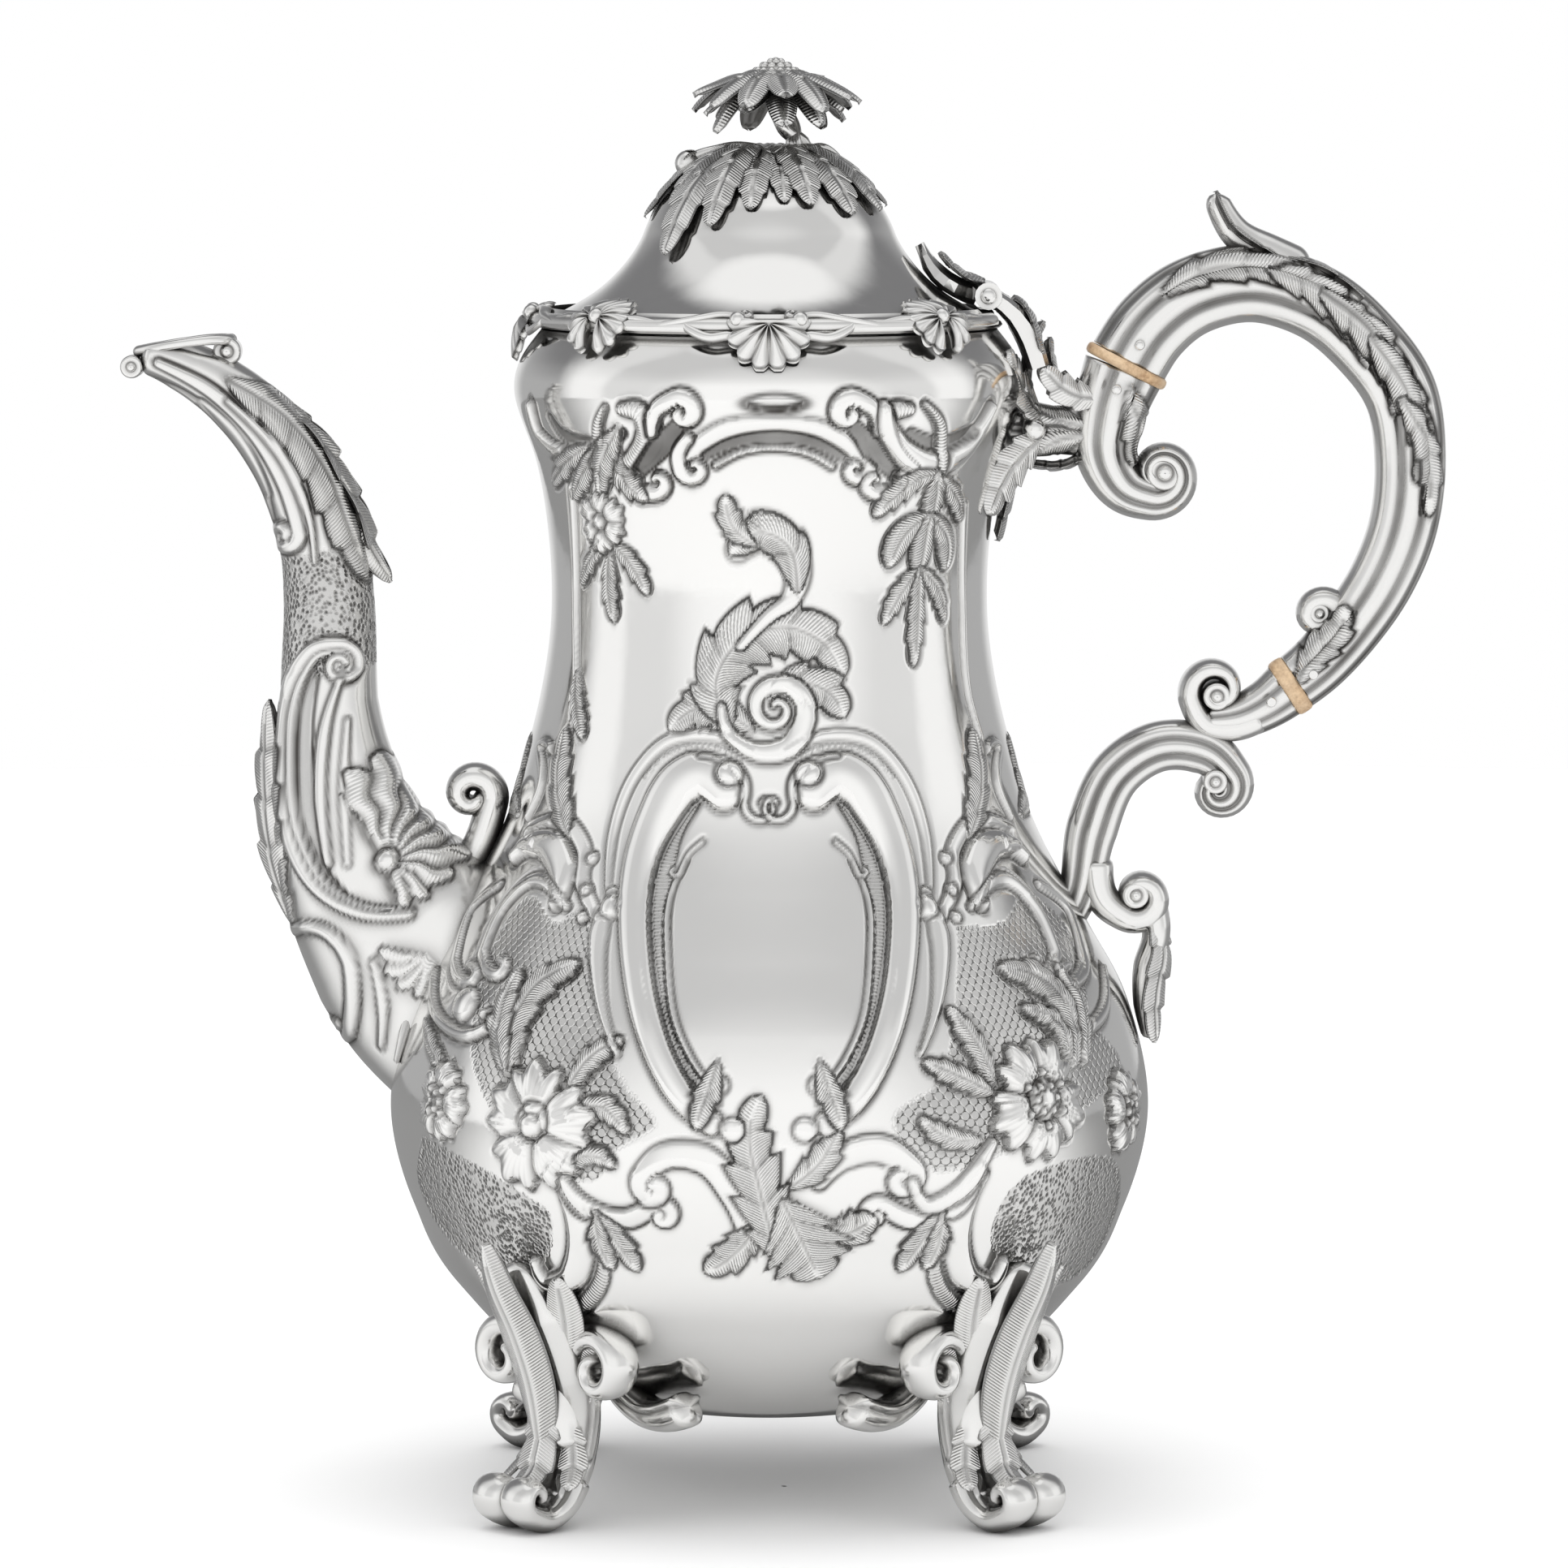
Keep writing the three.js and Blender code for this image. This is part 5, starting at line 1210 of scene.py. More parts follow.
def make_grip():
    """The fluted grip between the two rings, with its acanthus and thumbpiece."""
    grip = Piece()
    bar = Bar(GRIP_PATH, (7.4, 7.2, 7.0, 6.8, 6.4, 6.0, 5.3), (7.2, 6.9, 6.7, 6.4, 6.2, 5.8, 5.1), step=0.55,
              around=112, square=2.6, flutes=FLUTES, depth=0.16, caps=(0.4, 0.4))
    for path, half in (([(72, 222), (82, 227), (93, 226.4), (103, 221.4)], 3.2),
                       ([(91, 226.4), (101, 222.4), (108.4, 214.4), (109.6, 208.4)], 3.6),
                       ([(101, 222), (110.4, 214.4), (115.4, 205), (114.4, 199.4)], 3.6),
                       ([(110, 214), (117, 203.6), (120, 193), (118.4, 187.4)], 3.2),
                       ([(116, 203), (121, 192), (121, 181)], 2.6),
                       ([(97.4, 150.6), (101, 156.4), (104.6, 160.4), (106, 165)], 3.4)):
        bar.relief.leaf(path, half, 1.1, lobes=4, edge=0.8)
    points, faces, extra = bar.surface()
    points = ring_cut(ring_cut(points, UPPER_RING, 1), LOWER_RING, 1)
    grip.add(points, faces, extra)
    leaf_blade(grip, [(98, 0, 226.2), (91.6, 0, 230.2), (85.6, 0, 234.2), (82, 0, 240.8)], 5.0, (0.4, 0, 1),
               lobes=3, cup=0.18, thick=1.6, cut=0.2)
    tube(grip, [(99, 0, 225.4), (92, 0, 229.2), (85.8, 0, 233), (82.4, 0, 238.6), (82.2, 0, 240.4)],
         (4.2, 3.8, 3.2, 2.7, 2.2))
    for path, half in (([(74, 0, 224.4), (84, 0, 230), (95, 0, 230.4), (106, 0, 226.4)], 5.6),
                       ([(92, 0, 231), (104, 0, 228), (113.4, 0, 219.6), (117.6, 0, 212)], 6.2),
                       ([(104, 0, 227.4), (114.4, 0, 218.4), (121.4, 0, 206), (122.9, 0, 197)], 5.6),
                       ([(115, 0, 216), (122, 0, 204.4), (124.2, 0, 191), (123, 0, 181)], 4.8)):
        leaf_blade(grip, [(x - 1.4, y, z - 1.4) for x, y, z in path], half, (0.6, 0, 0.8), lobes=5, cup=0.1,
                   thick=1.4, cut=0.34)
    Bar(curled([(105, 153), (106.4, 158.6), (104.8, 164)], 3.6, side=1, turns=1.0), (3.0, 2.5, 1.6),
        (4.2, 4.0, 3.8), around=36).into(grip)
    scroll_end(grip, (101.3, 163.2), 1.9, 4.0)
    grip.make("handle_grip_fluted", CAST, "pot", "silver_cast", ["handle_grip"])


def make_upper_socket():
    """The upper scroll with the arm that carries it and the leaves at the hinge."""
    upper = Piece()
    bar = Bar(curled([(65.4, 208.4), (62.6, 200), (62.0, 192.4), (65.2, 186.4), (70.6, 184.2)], 5.0, side=1,
                     turns=1.0), [(0, 7.6), (0.25, 6.2), (0.5, 4.6), (0.75, 3.2), (1, 2.0)],
              [(0, 7.2), (0.3, 6.6), (0.6, 6.0), (1, 5.6)], step=0.55, around=96, square=2.6,
              flutes=FLUTES, depth=0.16, caps=(0.4, 0.8))
    bar.relief.leaf([(66, 205), (67.4, 198), (66.6, 190.4)], 3.0, 1.0, lobes=3, edge=0.8)
    points, faces, extra = bar.surface()
    upper.add(ring_cut(points, UPPER_RING, -1), faces, extra)
    scroll_end(upper, (72.6, 189.2), 3.4, 5.7)
    arm = Bar([(40, 198.4), (46, 197.4), (52, 196.8), (60, 197.4)], (6.8, 5.0, 4.4, 5.4),
              (6.4, 4.8, 4.4, 5.4), around=64, square=2.4, flutes=((0.0, 0.16),), depth=0.15)
    arm.relief.leaf([(58, 198), (51, 199.4), (44, 204)], 3.4, 0.9, lobes=3)
    arm.relief.leaf([(58, 196), (51, 194.4), (44, 188)], 3.4, 0.9, lobes=3)
    arm.into(upper)
    for path, half in (([(57, 0, 203.4), (53, 0, 207), (51.6, 0, 214)], 4.4),
                       ([(48, 0, 202), (47.6, 0, 210), (50.4, 0, 217)], 5.4),
                       ([(47.2, 0, 196), (44.6, 0, 186), (42, 0, 176.4)], 5.4),
                       ([(60, 0, 193), (54, 0, 190), (48, 0, 190.4)], 3.6)):
        leaf_blade(upper, path, half, (1, 0, 0.2), lobes=4, cup=0.2, thick=1.6)
    for s in (1, -1):
        leaf_blade(upper, [(50, 4 * s, 199), (46, 9 * s, 205), (43.6, 13 * s, 212)], 4.4,
                   (0.8, 0.5 * s, 0.2), lobes=4, cup=0.2)
        leaf_blade(upper, [(50, 4 * s, 196), (44, 9 * s, 190), (40, 13 * s, 182)], 4.4,
                   (0.8, 0.5 * s, 0.2), lobes=4, cup=0.2)
        leaf_blade(upper, [(61, 5 * s, 203), (55, 7 * s, 204), (50, 8 * s, 208.6)], 3.2,
                   (0.2, s, 0.2), lobes=3)
        ball(upper, (48.6, 5.6 * s, 197.2), 2.2)
    upper.make("handle_upper_scroll", CAST, "pot", "silver_cast", ["handle_upper_socket"])


def make_lower_socket():
    """The lower double scroll and its leafy tail on the belly."""
    lower = Piece()
    neck = Bar([(96.2, 149.6), (91.4, 146), (86.4, 143.8), (80.6, 143.4)], (5.3, 4.6, 4.0, 3.0),
               (5.1, 5.2, 5.2, 5.0), around=72, square=2.4, flutes=FLUTES, depth=0.14, caps=(0.4, 0.8))
    points, faces, extra = neck.surface()
    lower.add(ring_cut(points, LOWER_RING, -1), faces, extra)
    Bar(curled([(91, 144.4), (86, 142.2), (80.6, 142.6), (77.8, 147)], 5.0, side=-1, turns=1.1),
        (3.0, 2.6, 2.2, 1.7, 1.2), (5.0, 5.2, 5.4), around=48, square=2.5).into(lower)
    scroll_end(lower, (82.4, 148.0), 2.6, 5.5)
    Bar(curled([(53, 103), (57.4, 112), (59.6, 123), (64.0, 133.2), (72, 138.4), (80.6, 137.6), (85.6, 133)],
               3.8, side=-1, turns=0.9), [(0, 3.0), (0.3, 4.8), (0.7, 4.6), (0.85, 3.4), (1, 1.8)],
        (4.4, 4.8, 5.0, 5.2, 5.2), around=80, square=2.6, flutes=((0.34, 0.15), (-0.36, 0.15)),
        depth=0.2).into(lower)
    scroll_end(lower, (82.2, 132.2), 2.3, 5.4)
    Bar(curled([(60.4, 118), (61.6, 110.4), (66, 106.8)], 4.4, side=1, turns=1.1), (3.2, 3.0, 2.4, 1.6),
        (4.8, 5.2, 5.4), around=48, square=2.5).into(lower)
    scroll_end(lower, (67.6, 111.2), 2.5, 5.5)
    Bar([(70.2, 110), (71.6, 103.4), (69.6, 97.4), (69.4, 90.6), (70.4, 84)], (3.2, 2.6, 2.2, 2.0, 1.2),
        (4.6, 4.4, 3.8, 3.0, 1.6), around=40).into(lower)
    for s in (1, -1):
        leaf_blade(lower, [(70.6, 2 * s, 108), (72.6, 3 * s, 101), (71.2, 3 * s, 92), (71.4, 2 * s, 83.4)],
                   3.8, (0.8, 0.6 * s, 0), lobes=4, cup=0.2, thick=1.2)
    lower.make("handle_lower_scroll", CAST, "pot", "silver_cast", ["handle_lower_socket"])


def make_rings():
    """The two insulating rings and the heads of the rivets beside them."""
    for name, node, (centre, axis, thick, wide, half) in (
        ("insulating_ring_upper", "insulator_upper", UPPER_RING),
        ("insulating_ring_lower", "insulator_lower", LOWER_RING),
    ):
        axis = np.array(axis) / math.hypot(*axis)
        section = np.array([(0.5, -1), (0.97, -1), (1.02, -0.7), (1.035, -0.3), (1.035, 0.3), (1.02, 0.7),
                            (0.97, 1), (0.5, 1)])
        angle = round_angles(RING_SIDES)
        size = (np.abs(np.cos(angle)) ** 2.5 + np.abs(np.sin(angle)) ** 2.5) ** -0.4
        off = section[:, :1] * thick * np.cos(angle) * size
        side = section[:, :1] * wide * np.sin(angle) * size
        step = section[:, 1:] * half * np.ones_like(angle)
        points = np.stack([centre[0] - axis[1] * off + axis[0] * step, side,
                           centre[1] + axis[0] * off + axis[1] * step], -1)
        middle = [centre[0], 0, centre[1]]
        faces = facing(grid_faces(len(section), RING_SIDES, True), points, points - middle, True)
        Piece().add(points, faces).make(name, RING, "pot", "insulator", [node])
    rivets = Piece()
    for (x, z), (ax, az), _, wide, _ in (UPPER_RING, LOWER_RING):
        for along in (RIVET_STEP, -RIVET_STEP):
            for s in (1, -1):
                ball(rivets, (x + ax * along, s * (wide + 0.35), z + az * along), (0.95, 0.7, 0.95))
    rivets.make("rivet_heads", CAST, "pot", "silver_cast")


# ---------------------------------------------------------------- feet

FOOT_ANGLES = {"front_left": 225, "front_right": 315, "back_right": 45, "back_left": 135}


def bearing(angle):
    """The level direction at an angle round the pot."""
    return np.array([math.cos(angle), math.sin(angle), 0])


def make_foot(name, degrees):
    """A cast foot with a leafy leg, two rolled toes, two volutes and two arms to the body."""
    angle = math.radians(degrees)
    out, across = bearing(angle), bearing(angle + math.pi / 2)
    foot = Piece()

    def at(reach, side, z):
        return out * reach + across * side + [0, 0, z]

    leg = Bar([(65, 49), (60.4, 39.6), (56, 31), (52, 22), (51.4, 13.6), (54.6, 7), (59, 3.8)],
              [(0, 1.4), (0.2, 4.2), (0.5, 4.8), (0.8, 4.2), (1, 3.2)],
              [(0, 2.6), (0.2, 8.0), (0.45, 8.6), (0.75, 5.4), (1, 6.4)],
              step=0.55, around=72, square=2.3, outward=out, across=across)
    leg.relief.ridge([(60, 42), (55, 32), (51.6, 22), (51.4, 13)], (2.4, 3.0, 2.6, 2.0), 0.9, "hollow")
    leg.into(foot)
    for s in (1, -1):
        Bar(curled([(53.6, 9.4), (57, 4.62), (62, 2.52), (66.6, 4.22)], 2.9, side=1, turns=0.9),
            (3.4, 2.8, 2.4, 2.1, 1.4), (3.2, 3.6, 3.9, 3.9, 3.4), around=36, outward=out, across=across,
            origin=across * s * 3.7).into(foot)
        Bar(curled([(3.4, 14), (2.8, 22), (4.0, 30), (8.0, 34.6)], 6.2, side=-1, turns=1.15),
            (2.8, 2.6, 2.6, 2.2, 1.3), (3.6, 4.0, 4.0, 3.4), around=36, outward=across * s,
            across=out, origin=out * 54.5).into(foot)
        arm = Bar([(4, 24), (10, 20.6), (16, 20.4), (22, 22.6)], (2.4, 2.6, 3.0, 3.4), (3.4, 3.2, 3.4, 3.8),
                  around=40, outward=across * s, across=out, origin=out * 42, square=2.6)
        arm.relief.ridge([(6, 24), (12, 21.6), (21, 24)], 1.6, 0.7)
        arm.into(foot)
        leaf_blade(foot, [at(57, 5.4 * s, 30), at(60.4, 8.6 * s, 39), at(64.4, 10.6 * s, 47.4)], 3.4,
                   out + across * s * 0.6, lobes=0, cup=0.25)
        leaf_blade(foot, [at(53, 5.6 * s, 22), at(54, 9.6 * s, 29), at(57, 13.4 * s, 36)], 3.2,
                   out + across * s, lobes=0, cup=0.25)
        leaf_blade(foot, [at(55.6, 3.8 * s, 20), at(56.4, 6.4 * s, 13), at(60, 8.6 * s, 8)], 3.0,
                   out + across * s * 0.8, lobes=3, cup=0.2)
    leaf_blade(foot, [at(57.4, 0, 14), at(59.6, 0, 26), at(63.6, 0, 36), at(69.0, 0, 46), at(71.6, 0, 53.6)],
               5.4, out, lobes=0, cup=0.34, thick=1.4, hatch=0.8)
    leaf_blade(foot, [at(57.6, 0, 24), at(58.4, 0, 16), at(61, 0, 9.6), at(65.4, 0, 7.6)], 5.0, out,
               lobes=3, cup=0.25, cut=0.25)
    foot.make("foot_" + name + "_scrolled", CAST, "pot", "silver_cast", ["foot_" + name])


# ---------------------------------------------------------------- lid

LID_OUTSIDE = [(42.8, 216.9), (37.2, 219.2), (31.2, 222.9), (26.6, 227.4), (23.8, 231.5), (22, 235.6),
               (19.5, 239.5), (15, 243.4), (8, 246.2), (0, 247)]


def make_lid():
    """The domed lid and its plain inside."""
    lid = Piece()
    outside = smooth_path(LID_OUTSIDE, 0.9)[::-3]
    turned(lid, [*outside, (42.9, 216.6), (42.5, 215.95), (41, 215.85)], 200)
    lid.make("lid_dome", SHEET, "lid", "silver_sheet", ["lid"])
    lining = [(r * 0.97 - 0.6, z - 0.8) for r, z in LID_OUTSIDE[:-1]]
    inside = Piece()
    turned(inside, [(41.4, 215.9), *lining, (0, 246.2)], 120, 1.0)
    inside.make("lid_inside", INSIDE, "lid", "silver_sheet")


RIM_RADIUS = 44.0
RIM_Z = 218.0
RIM_UP = (-8, -3.4, 0, 3, 8)             # distances up the rim, for which the next two lines hold
RIM_REACH = (46.7, 45.4, 43.6, 41.4, 35.2)
RIM_RISE = (-8.2, -3.2, 0, 1.6, 4.0)


def rim_place(degrees):
    """Turns (along, up, out) beside the lid's rim into space, centred on a direction."""
    middle = math.radians(degrees)

    def place(p, q, h=0.0):
        radius = np.interp(q, RIM_UP, RIM_REACH) + h * 0.8
        z = RIM_Z + np.interp(q, RIM_UP, RIM_RISE) + h * 0.6
        return lathe(radius, z, middle + p / RIM_RADIUS)

    return place


FAN_ROWS = 16
RIB_COLUMNS = 8
BAND_COLUMNS = 14


def fan(piece, place, centre, radius, start, end, ribs, height):
    """A ribbed shell round a point beside the rim."""
    rows, columns = FAN_ROWS, ribs * RIB_COLUMNS + 1
    share = np.linspace(0, 1, columns)[None]
    grow = np.linspace(0.04, 1, rows)[:, None]
    rib = np.abs(np.sin(math.pi * ribs * share))
    angle = np.radians(start + (end - start) * share)
    reach = radius * (0.84 + 0.16 * rib)
    p = centre[0] + grow * reach * np.cos(angle)
    q = centre[1] + grow * reach * np.sin(angle)
    lift = height * (0.35 + 0.65 * rib) * np.sin(math.pi * (0.25 + 0.65 * grow))
    points = place(p, q, lift + 0.3)
    faces = facing(grid_faces(rows, columns), points, place(*centre) * [1, 1, 0])
    look = tones(0.9 * (1 - rib) ** 2 * grow, rows, columns)
    first = piece.count
    piece.add(points, faces, look)
    piece.add(place(p, q, -0.4), faces[:, ::-1], look)
    under = rows * columns
    rim = range(under - columns, under)
    left, right = range(0, under, columns), range(columns - 1, under, columns)
    for edge in (rim, left, right):
        for a, b in zip(edge[:-1], edge[1:]):
            piece.faces.append([first + a, first + b, first + under + b, first + under + a])


def rim_band(piece, place, path, width, height):
    """A raised strap along a path beside the rim."""
    t = tangents(path)
    half = spread(width, np.linspace(0, 1, len(path)))[:, None] / 2
    over = np.linspace(0, math.pi, BAND_COLUMNS)[None]
    v = np.cos(over)
    p = path[:, :1] - t[:, 1:] * v * half
    q = path[:, 1:] + t[:, :1] * v * half
    top = place(p, q, height * np.sin(over) * np.minimum(1, half) - 0.3)
    faces = facing(grid_faces(len(path), BAND_COLUMNS), top, place(*path[len(path) // 2]) * [1, 1, 0])
    piece.add(top, faces, tones(3.5 * np.clip(np.abs(v) - 0.8, 0, 1), len(path), BAND_COLUMNS))


HINGE_GAP = 0.34         # the angle either side of the hinge that the border leaves free


def make_border():
    """The lid's moulded edge, with a shell at three sides and paired fans between them."""
    border = Piece()
    line = smooth_path([(41.2, 217.0), (43.5, 216.2), (44.3, 216.9), (44.1, 218.2), (42.9, 218.9),
                        (41.6, 218.6), (40.4, 219.5)], 0.3)
    groove = 0.6 * np.exp(-((np.linspace(0, 1, len(line))[:, None] - 0.72) / 0.06) ** 2)
    for side in (1, -1):
        angle = np.linspace(HINGE_GAP, math.pi, 180) * side
        points = lathe(line[:, :1], line[:, 1:], angle)
        faces = facing(grid_faces(len(line), len(angle)), points, points.mean((0, 1)) * [1, 1, 0])
        border.add(points, faces, tones(groove, len(line), len(angle)))
    for degrees in (90, 180, 270):
        place = rim_place(degrees)
        fan(border, place, (0, -0.8), 7.6, -200, 20, 8, 1.7)
        for s in (1, -1):
            rim_band(border, place, curled([(s * 21, -0.6), (s * 15, 0.6), (s * 9, 2.4), (s * 5.2, 1.6)], 1.5,
                                           side=-s, turns=0.8), (1.0, 1.8, 2.2, 1.9, 1.2), 1.5)
            rim_band(border, place, curled([(s * 3, -3.0), (s * 7, -2.2), (s * 10.6, -2.6), (s * 15, -0.8)],
                                           1.4, side=s, turns=0.6), (1.4, 1.6, 1.6, 1.2), 1.2)
            ball(border, place(s * 5.6, 0.4, 0.8), 1.5)
    for degrees in (45, 135, 225, 315):
        place = rim_place(degrees)
        for s in (1, -1):
            fan(border, place, (s * 1.0, 0.4), 6.6, 90 - s * 100, 90 + s * 12, 4, 1.6)
            fan(border, place, (s * 1.4, -0.2), 5.6, -90 + s * 95, -90 - s * 5, 3, 1.5)
            rim_band(border, place,
                     curled([(s * 13, 0.2), (s * 8.6, 1.0), (s * 4.4, 0.8)], 1.2, side=-s, turns=0.7),
                     (1.2, 1.9, 1.8, 1.2), 1.4)
        ball(border, place(0, 0.6, 1.0), 1.5)
    border.make("lid_border_chased", CAST, "lid", "silver_cast", ["lid_border"])


# ---------------------------------------------------------------- finial

def dome_z(reach):
    """The height of the lid's crown at a distance from its axis."""
    return 247.4 - 0.0034 * reach ** 2 - 0.00087 * reach ** 3


def make_daisy():
    """The finial's flower, with its eye of small berries."""
    middle = np.array([1.2, 0, 0])
    flower = Piece()
    for count, reach, rise, fall, half, turn in ((13, 15.4, 260.6, 3.9, 2.8, 0.0),
                                                 (11, 12.8, 258.6, 5.2, 2.8, 0.26),
                                                 (12, 9.0, 261.6, 0.2, 2.0, 0.1)):
        for k in range(count):
            out = bearing(TAU * k / count + turn)
            droop = fall * (1 + 0.4 * math.sin(k * 2.4))
            path = [middle + out * r + [0, 0, z] for r, z in
                    ((2.4, rise - 0.6), (reach * 0.4, rise + 0.8), (reach * 0.75, rise - 0.35 * droop),
                     (reach, rise - droop))]
            leaf_blade(flower, path, half, (0, 0, 1), lobes=0, cup=0.4, thick=0.8, blunt=0.42, lean=0.2,
                       stalk=0.45, columns=13, step=0.6)
    flower.make("finial_daisy", CAST, "lid", "silver_cast", ["finial_flower"])
    centre = Piece()
    ball(centre, middle + [0, 0, 261.4], (4.4, 4.4, 2.8), dark=0.35, rows=16, around=32)
    for ring, count, z, size in ((3.6, 14, 262.6, 0.85), (2.3, 9, 263.6, 0.8), (1.0, 5, 264.3, 0.75),
                                 (0, 1, 264.5, 0.75)):
        for k in range(count):
            ball(centre, middle + ring * bearing(TAU * k / count + ring) + [0, 0, z], size, rows=7, around=10)
    centre.make("finial_daisy_eye", CAST, "lid", "silver_cast", ["finial_flower_centre"])


def make_stem():
    """The two twisted strands under the flower, and the shoot beside them."""
    stem = Piece()
    for s in (1, -1):
        tube(stem, [(4.6 + s * 1.0, s * 1.0, 246.2), (5.4 - s * 0.8, -s * 0.7, 249),
                    (3.4 + s * 0.9, s * 0.8, 252.6), (1.4 - s * 0.2, 0, 258)], (2.1, 1.5, 1.35, 1.9))
    tube(stem, [(5.6, -1.4, 247.0), (9.6, -2.4, 248.6), (13, -1, 246.4)], (1.2, 1.0, 0.7))
    stem.make("finial_twisted_stem", CAST, "lid", "silver_cast", ["finial_stem"])


def make_sprays():
    """The leaves that lie on the lid's crown, in a left and a right spray."""
    for side, sprays in (("left", ((184, 23, 3.8), (213, 21.4, 3.4), (224, 26.6, 4.6), (243, 24, 3.8),
                                   (261, 21.6, 3.4), (155, 24, 4.4), (125, 24, 4.2), (98, 22, 3.8))),
                         ("right", ((278, 20.6, 2.8), (291, 21.4, 3.6), (313, 22.4, 4.4), (336, 22.4, 4.2),
                                    (2, 21.6, 4.2), (32, 24, 4.4), (60, 22, 4.0), (80, 21, 3.4)))):
        spray = Piece()
        for k, (degrees, reach, half) in enumerate(sprays):
            out = bearing(math.radians(degrees))
            high = 0.5 * (k % 2)
            path = [out * r + [0, 0, dome_z(r) + lift] for r, lift in
                    ((2.5, 0.4), (reach * 0.35, 1.7 + high), (reach * 0.7, 1.5 + high),
                     (reach, 1.0 + high))]
            leaf_blade(spray, path, 1.05 * half, out * 0.4 + [0, 0, 1], lobes=6, cup=0.16, thick=0.8, cut=0.2,
                       lean=0.9, hatch=0.8)
        if side == "left":
            tube(spray, [(1, 0, 247.6), (-6, -1, 249), (-11, -0.6, 248), (-14.4, 0, 246.6)],
                 (1.0, 0.9, 0.8, 1.2))
            for k in range(4):
                a = TAU * k / 4
                leaf_blade(spray, [(-12.4, 0, 247.2), (-13.8, 1.6 * math.cos(a), 246.6 + 1.6 * math.sin(a)),
                                   (-15.6, 2.3 * math.cos(a), 245.9 + 2.3 * math.sin(a))], 1.3,
                           (0.3, math.cos(a), math.sin(a)), lobes=0, cup=0.1, thick=0.5, columns=9)
        spray.make("finial_spray_" + side, CAST, "lid", "silver_cast", ["finial_leaf_spray_" + side])


def make_berry():
    """The berry at the tip of the left spray."""
    bud = Piece()
    ball(bud, (-14.9, 0, 245.8), 2.45, rows=20, around=28)
    bud.make("finial_berry", CAST, "lid", "silver_cast", ["finial_bud"])


def make_hinge_leaves():
    """Leaves that dress the hinge on the lid and on the body."""
    lid_side = Piece()
    for y, half in ((-4.4, 3.4), (4.4, 3.4), (0, 3.0)):
        leaf_blade(lid_side, [(39.6, y * 0.6, 224.4), (35.6, y, 225.6), (31.4, y * 1.4, 229.4)], half,
                   (0.6, 0, 1), lobes=3, cup=0.25)
    lid_side.make("hinge_leaves_lid", CAST, "lid", "silver_cast")
    pot_side = Piece()
    for y, half in ((-5, 3.6), (5, 3.6), (0, 4.2)):
        leaf_blade(pot_side, [(44.8, y * 0.6, 221.4), (47.8, y, 218.2), (50, y * 1.5, 211)], half,
                   (1, 0, 0.5), lobes=4, cup=0.25)
    for s in (1, -1):
        ball(pot_side, (40.1, s * 8.9, 221.7), (1.5, 0.9, 1.5))
    pot_side.make("hinge_leaves_pot", CAST, "pot", "silver_cast")


# ---------------------------------------------------------------- stage

FLOOR_RINGS = (0.5, 150, 400, 900, 1500)
FLOOR_SIDES = 96
LAMP_AIM = (0, 0, 130)
LAMPS = (                                # name, place, size and radiance
    ("front_panel", (-250, -2300, 900), (1800, 1500), 1.0),
    ("top_panel", (0, 150, 1900), (1500, 1500), 1.1),
    ("left_panel", (-1900, -1000, 600), (900, 1300), 0.9),
    ("floor_wash", (0, -600, 2300), (2600, 2600), 0.35),
)
CAMERA_AIM = (0, 0, 131.4)
CAMERA_AWAY = 1500
CAMERA_RISE = math.radians(5.3)
LENS, SENSOR = 186.3, 36
WHITE = (1, 1, 1, 1)


def grey(value):
    """An even grey as a colour."""
    return (value, value, value, 1)


def make_floor():
    """A round sheet of white paper, with painted shade that makes it darker towards the back where silver
    mirrors it.
    """
    ring = np.array(FLOOR_RINGS)[:, None]
    points = lathe(ring, 0, round_angles(FLOOR_SIDES))
    faces = grid_faces(len(ring), FLOOR_SIDES, True)
    mesh = bpy.data.meshes.new("floor")
    mesh.from_pydata(points.reshape(-1, 3) * MM, [], faces.tolist() + [list(range(FLOOR_SIDES))])
    mesh.polygons.foreach_set("use_smooth", np.ones(len(mesh.polygons), bool))
    floor = bpy.data.objects.new("floor", mesh)
    bpy.context.scene.collection.objects.link(floor)
    n = Nodes(bpy.data.materials.new("white_paper"))
    plain = n.mix(n.noise(3.0, 2.0), grey(0.93), grey(0.95))
    way = n.new("VectorMath", n.place())
    way.operation = "NORMALIZE"
    # painted shade: in the silver's reflections the floor darkens towards the back
    back = n.soft(n.split(way.outputs[0])[1], 0.0, 1.0, -0.3, 0.45)
    n.link(n.mix(n.in_silver(), plain, n.mix(back, grey(0.78), grey(0.22))), n.shader.inputs["Base Color"])
    n.shader.inputs["Roughness"].default_value = 0.9
    mesh.materials.append(n.owner)


def make_lamps():
    """Broad soft panels that silver does not mirror."""
    for name, place, size, radiance in LAMPS:
        lamp = bpy.data.lights.new(name, "AREA")
        lamp.shape = "RECTANGLE"
        lamp.size, lamp.size_y = size[0] * MM, size[1] * MM
        lamp.energy = radiance * math.pi * lamp.size * lamp.size_y
        holder = bpy.data.objects.new(name, lamp)
        bpy.context.scene.collection.objects.link(holder)
        holder.visible_glossy = False
        holder.visible_camera = False
        point_at(holder, place, LAMP_AIM)


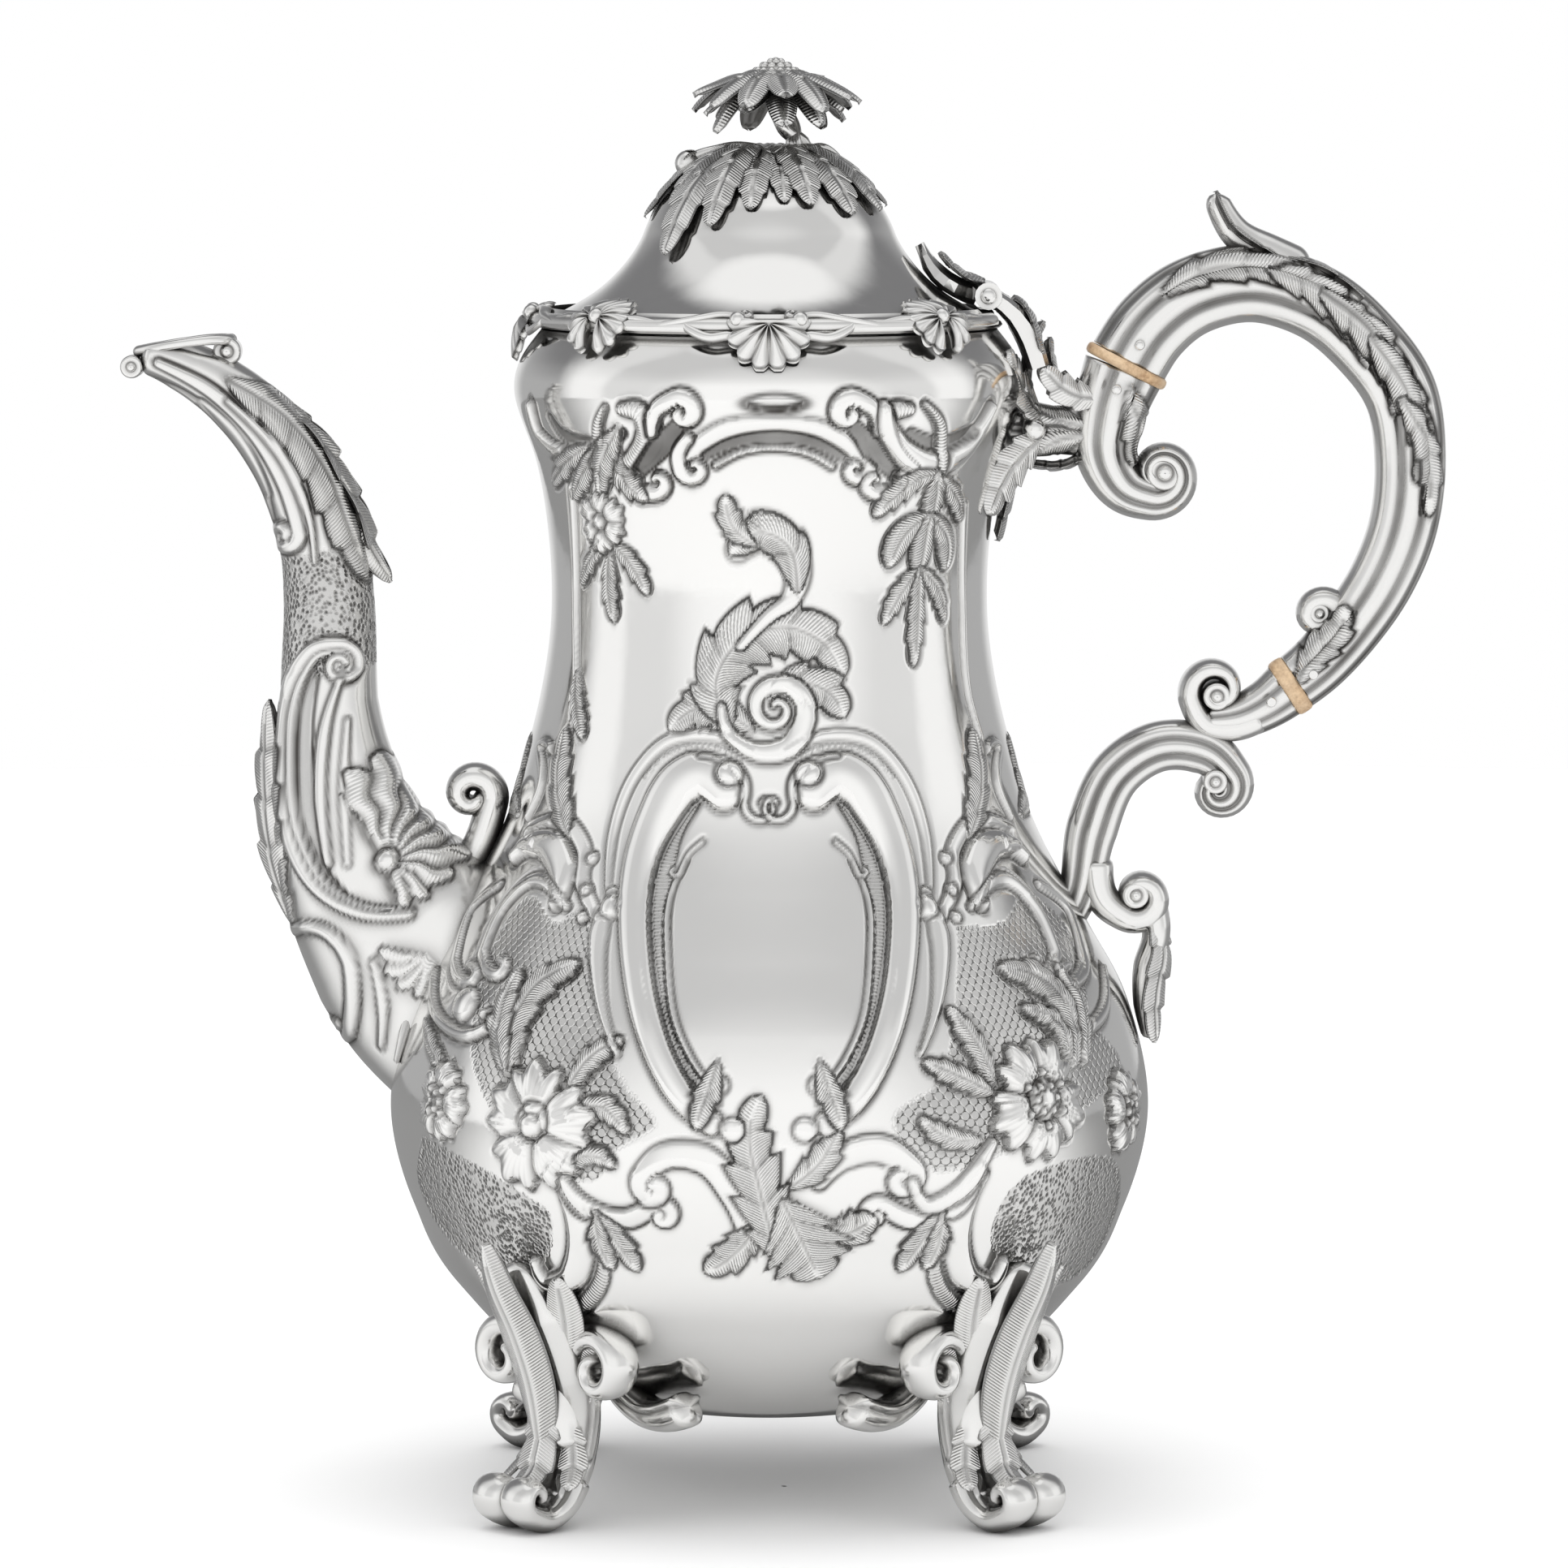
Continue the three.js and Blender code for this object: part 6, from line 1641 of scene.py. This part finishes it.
def studio_room():
    """The soft tent round the pot, as silver mirrors it: bands of white between grey."""
    world = bpy.data.worlds.new("studio")
    n = Nodes(world)
    _, y, z = n.split(n.place("Generated"))
    front = n.math("MULTIPLY", n.soft(y, 1.0, 0.7, -0.9, -0.5), n.soft(y, 1.0, 0.0, 0.0, 0.4))
    beside = n.math("MULTIPLY", n.soft(y, 0.0, 0.95, -0.42, -0.08), n.soft(y, 1.0, 0.0, 0.12, 0.5))
    level = n.math("MULTIPLY", n.math("MAXIMUM", front, beside), n.soft(z, 1.0, 0.72, 0.25, 0.65))
    crown = n.soft(z, 0.0, 0.9, 0.80, 0.95)
    behind = n.math("MULTIPLY", n.soft(y, 0.28, 0.75, 0.84, 1.0), n.soft(z, 1.0, 0.0, 0.05, 0.5))
    pale = n.math("MAXIMUM", n.math("MAXIMUM", level, crown), behind)
    room = n.mix(pale, (0.2, 0.2, 0.205, 1), WHITE)
    n.link(n.mix(n.in_silver(), WHITE, room), n.tree.nodes["Background"].inputs[0])
    return world


def point_at(holder, place, aim):
    """Puts a light or camera in place, looking along its own -Z at a point."""
    place, aim = Vector(place) * MM, Vector(aim) * MM
    holder.location = place
    holder.rotation_mode = "QUATERNION"
    holder.rotation_quaternion = (aim - place).to_track_quat("-Z", "Y")


def make_camera():
    """A long lens a little above the pot, square on to its side."""
    lens = bpy.data.cameras.new("camera")
    lens.lens, lens.sensor_width = LENS, SENSOR
    lens.clip_start, lens.clip_end = 0.05, 20
    holder = bpy.data.objects.new("camera", lens)
    bpy.context.scene.collection.objects.link(holder)
    place = (0, -CAMERA_AWAY * math.cos(CAMERA_RISE), CAMERA_AIM[2] + CAMERA_AWAY * math.sin(CAMERA_RISE))
    point_at(holder, place, CAMERA_AIM)
    bpy.context.scene.camera = holder


for name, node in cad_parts.items():
    node.data.materials.clear()
    node.data.materials.append(SHEET if name in ("lid_bezel", "mouth_ring") else CAST)

bpy.context.scene.view_settings.view_transform = "Standard"
bpy.context.scene.world = studio_room()
make_floor()
make_lamps()
make_camera()
make_body()
make_spout()
make_grip()
make_upper_socket()
make_lower_socket()
make_rings()
for foot_name, foot_angle in FOOT_ANGLES.items():
    make_foot(foot_name, foot_angle)
make_lid()
make_border()
make_daisy()
make_stem()
make_sprays()
make_berry()
make_hinge_leaves()
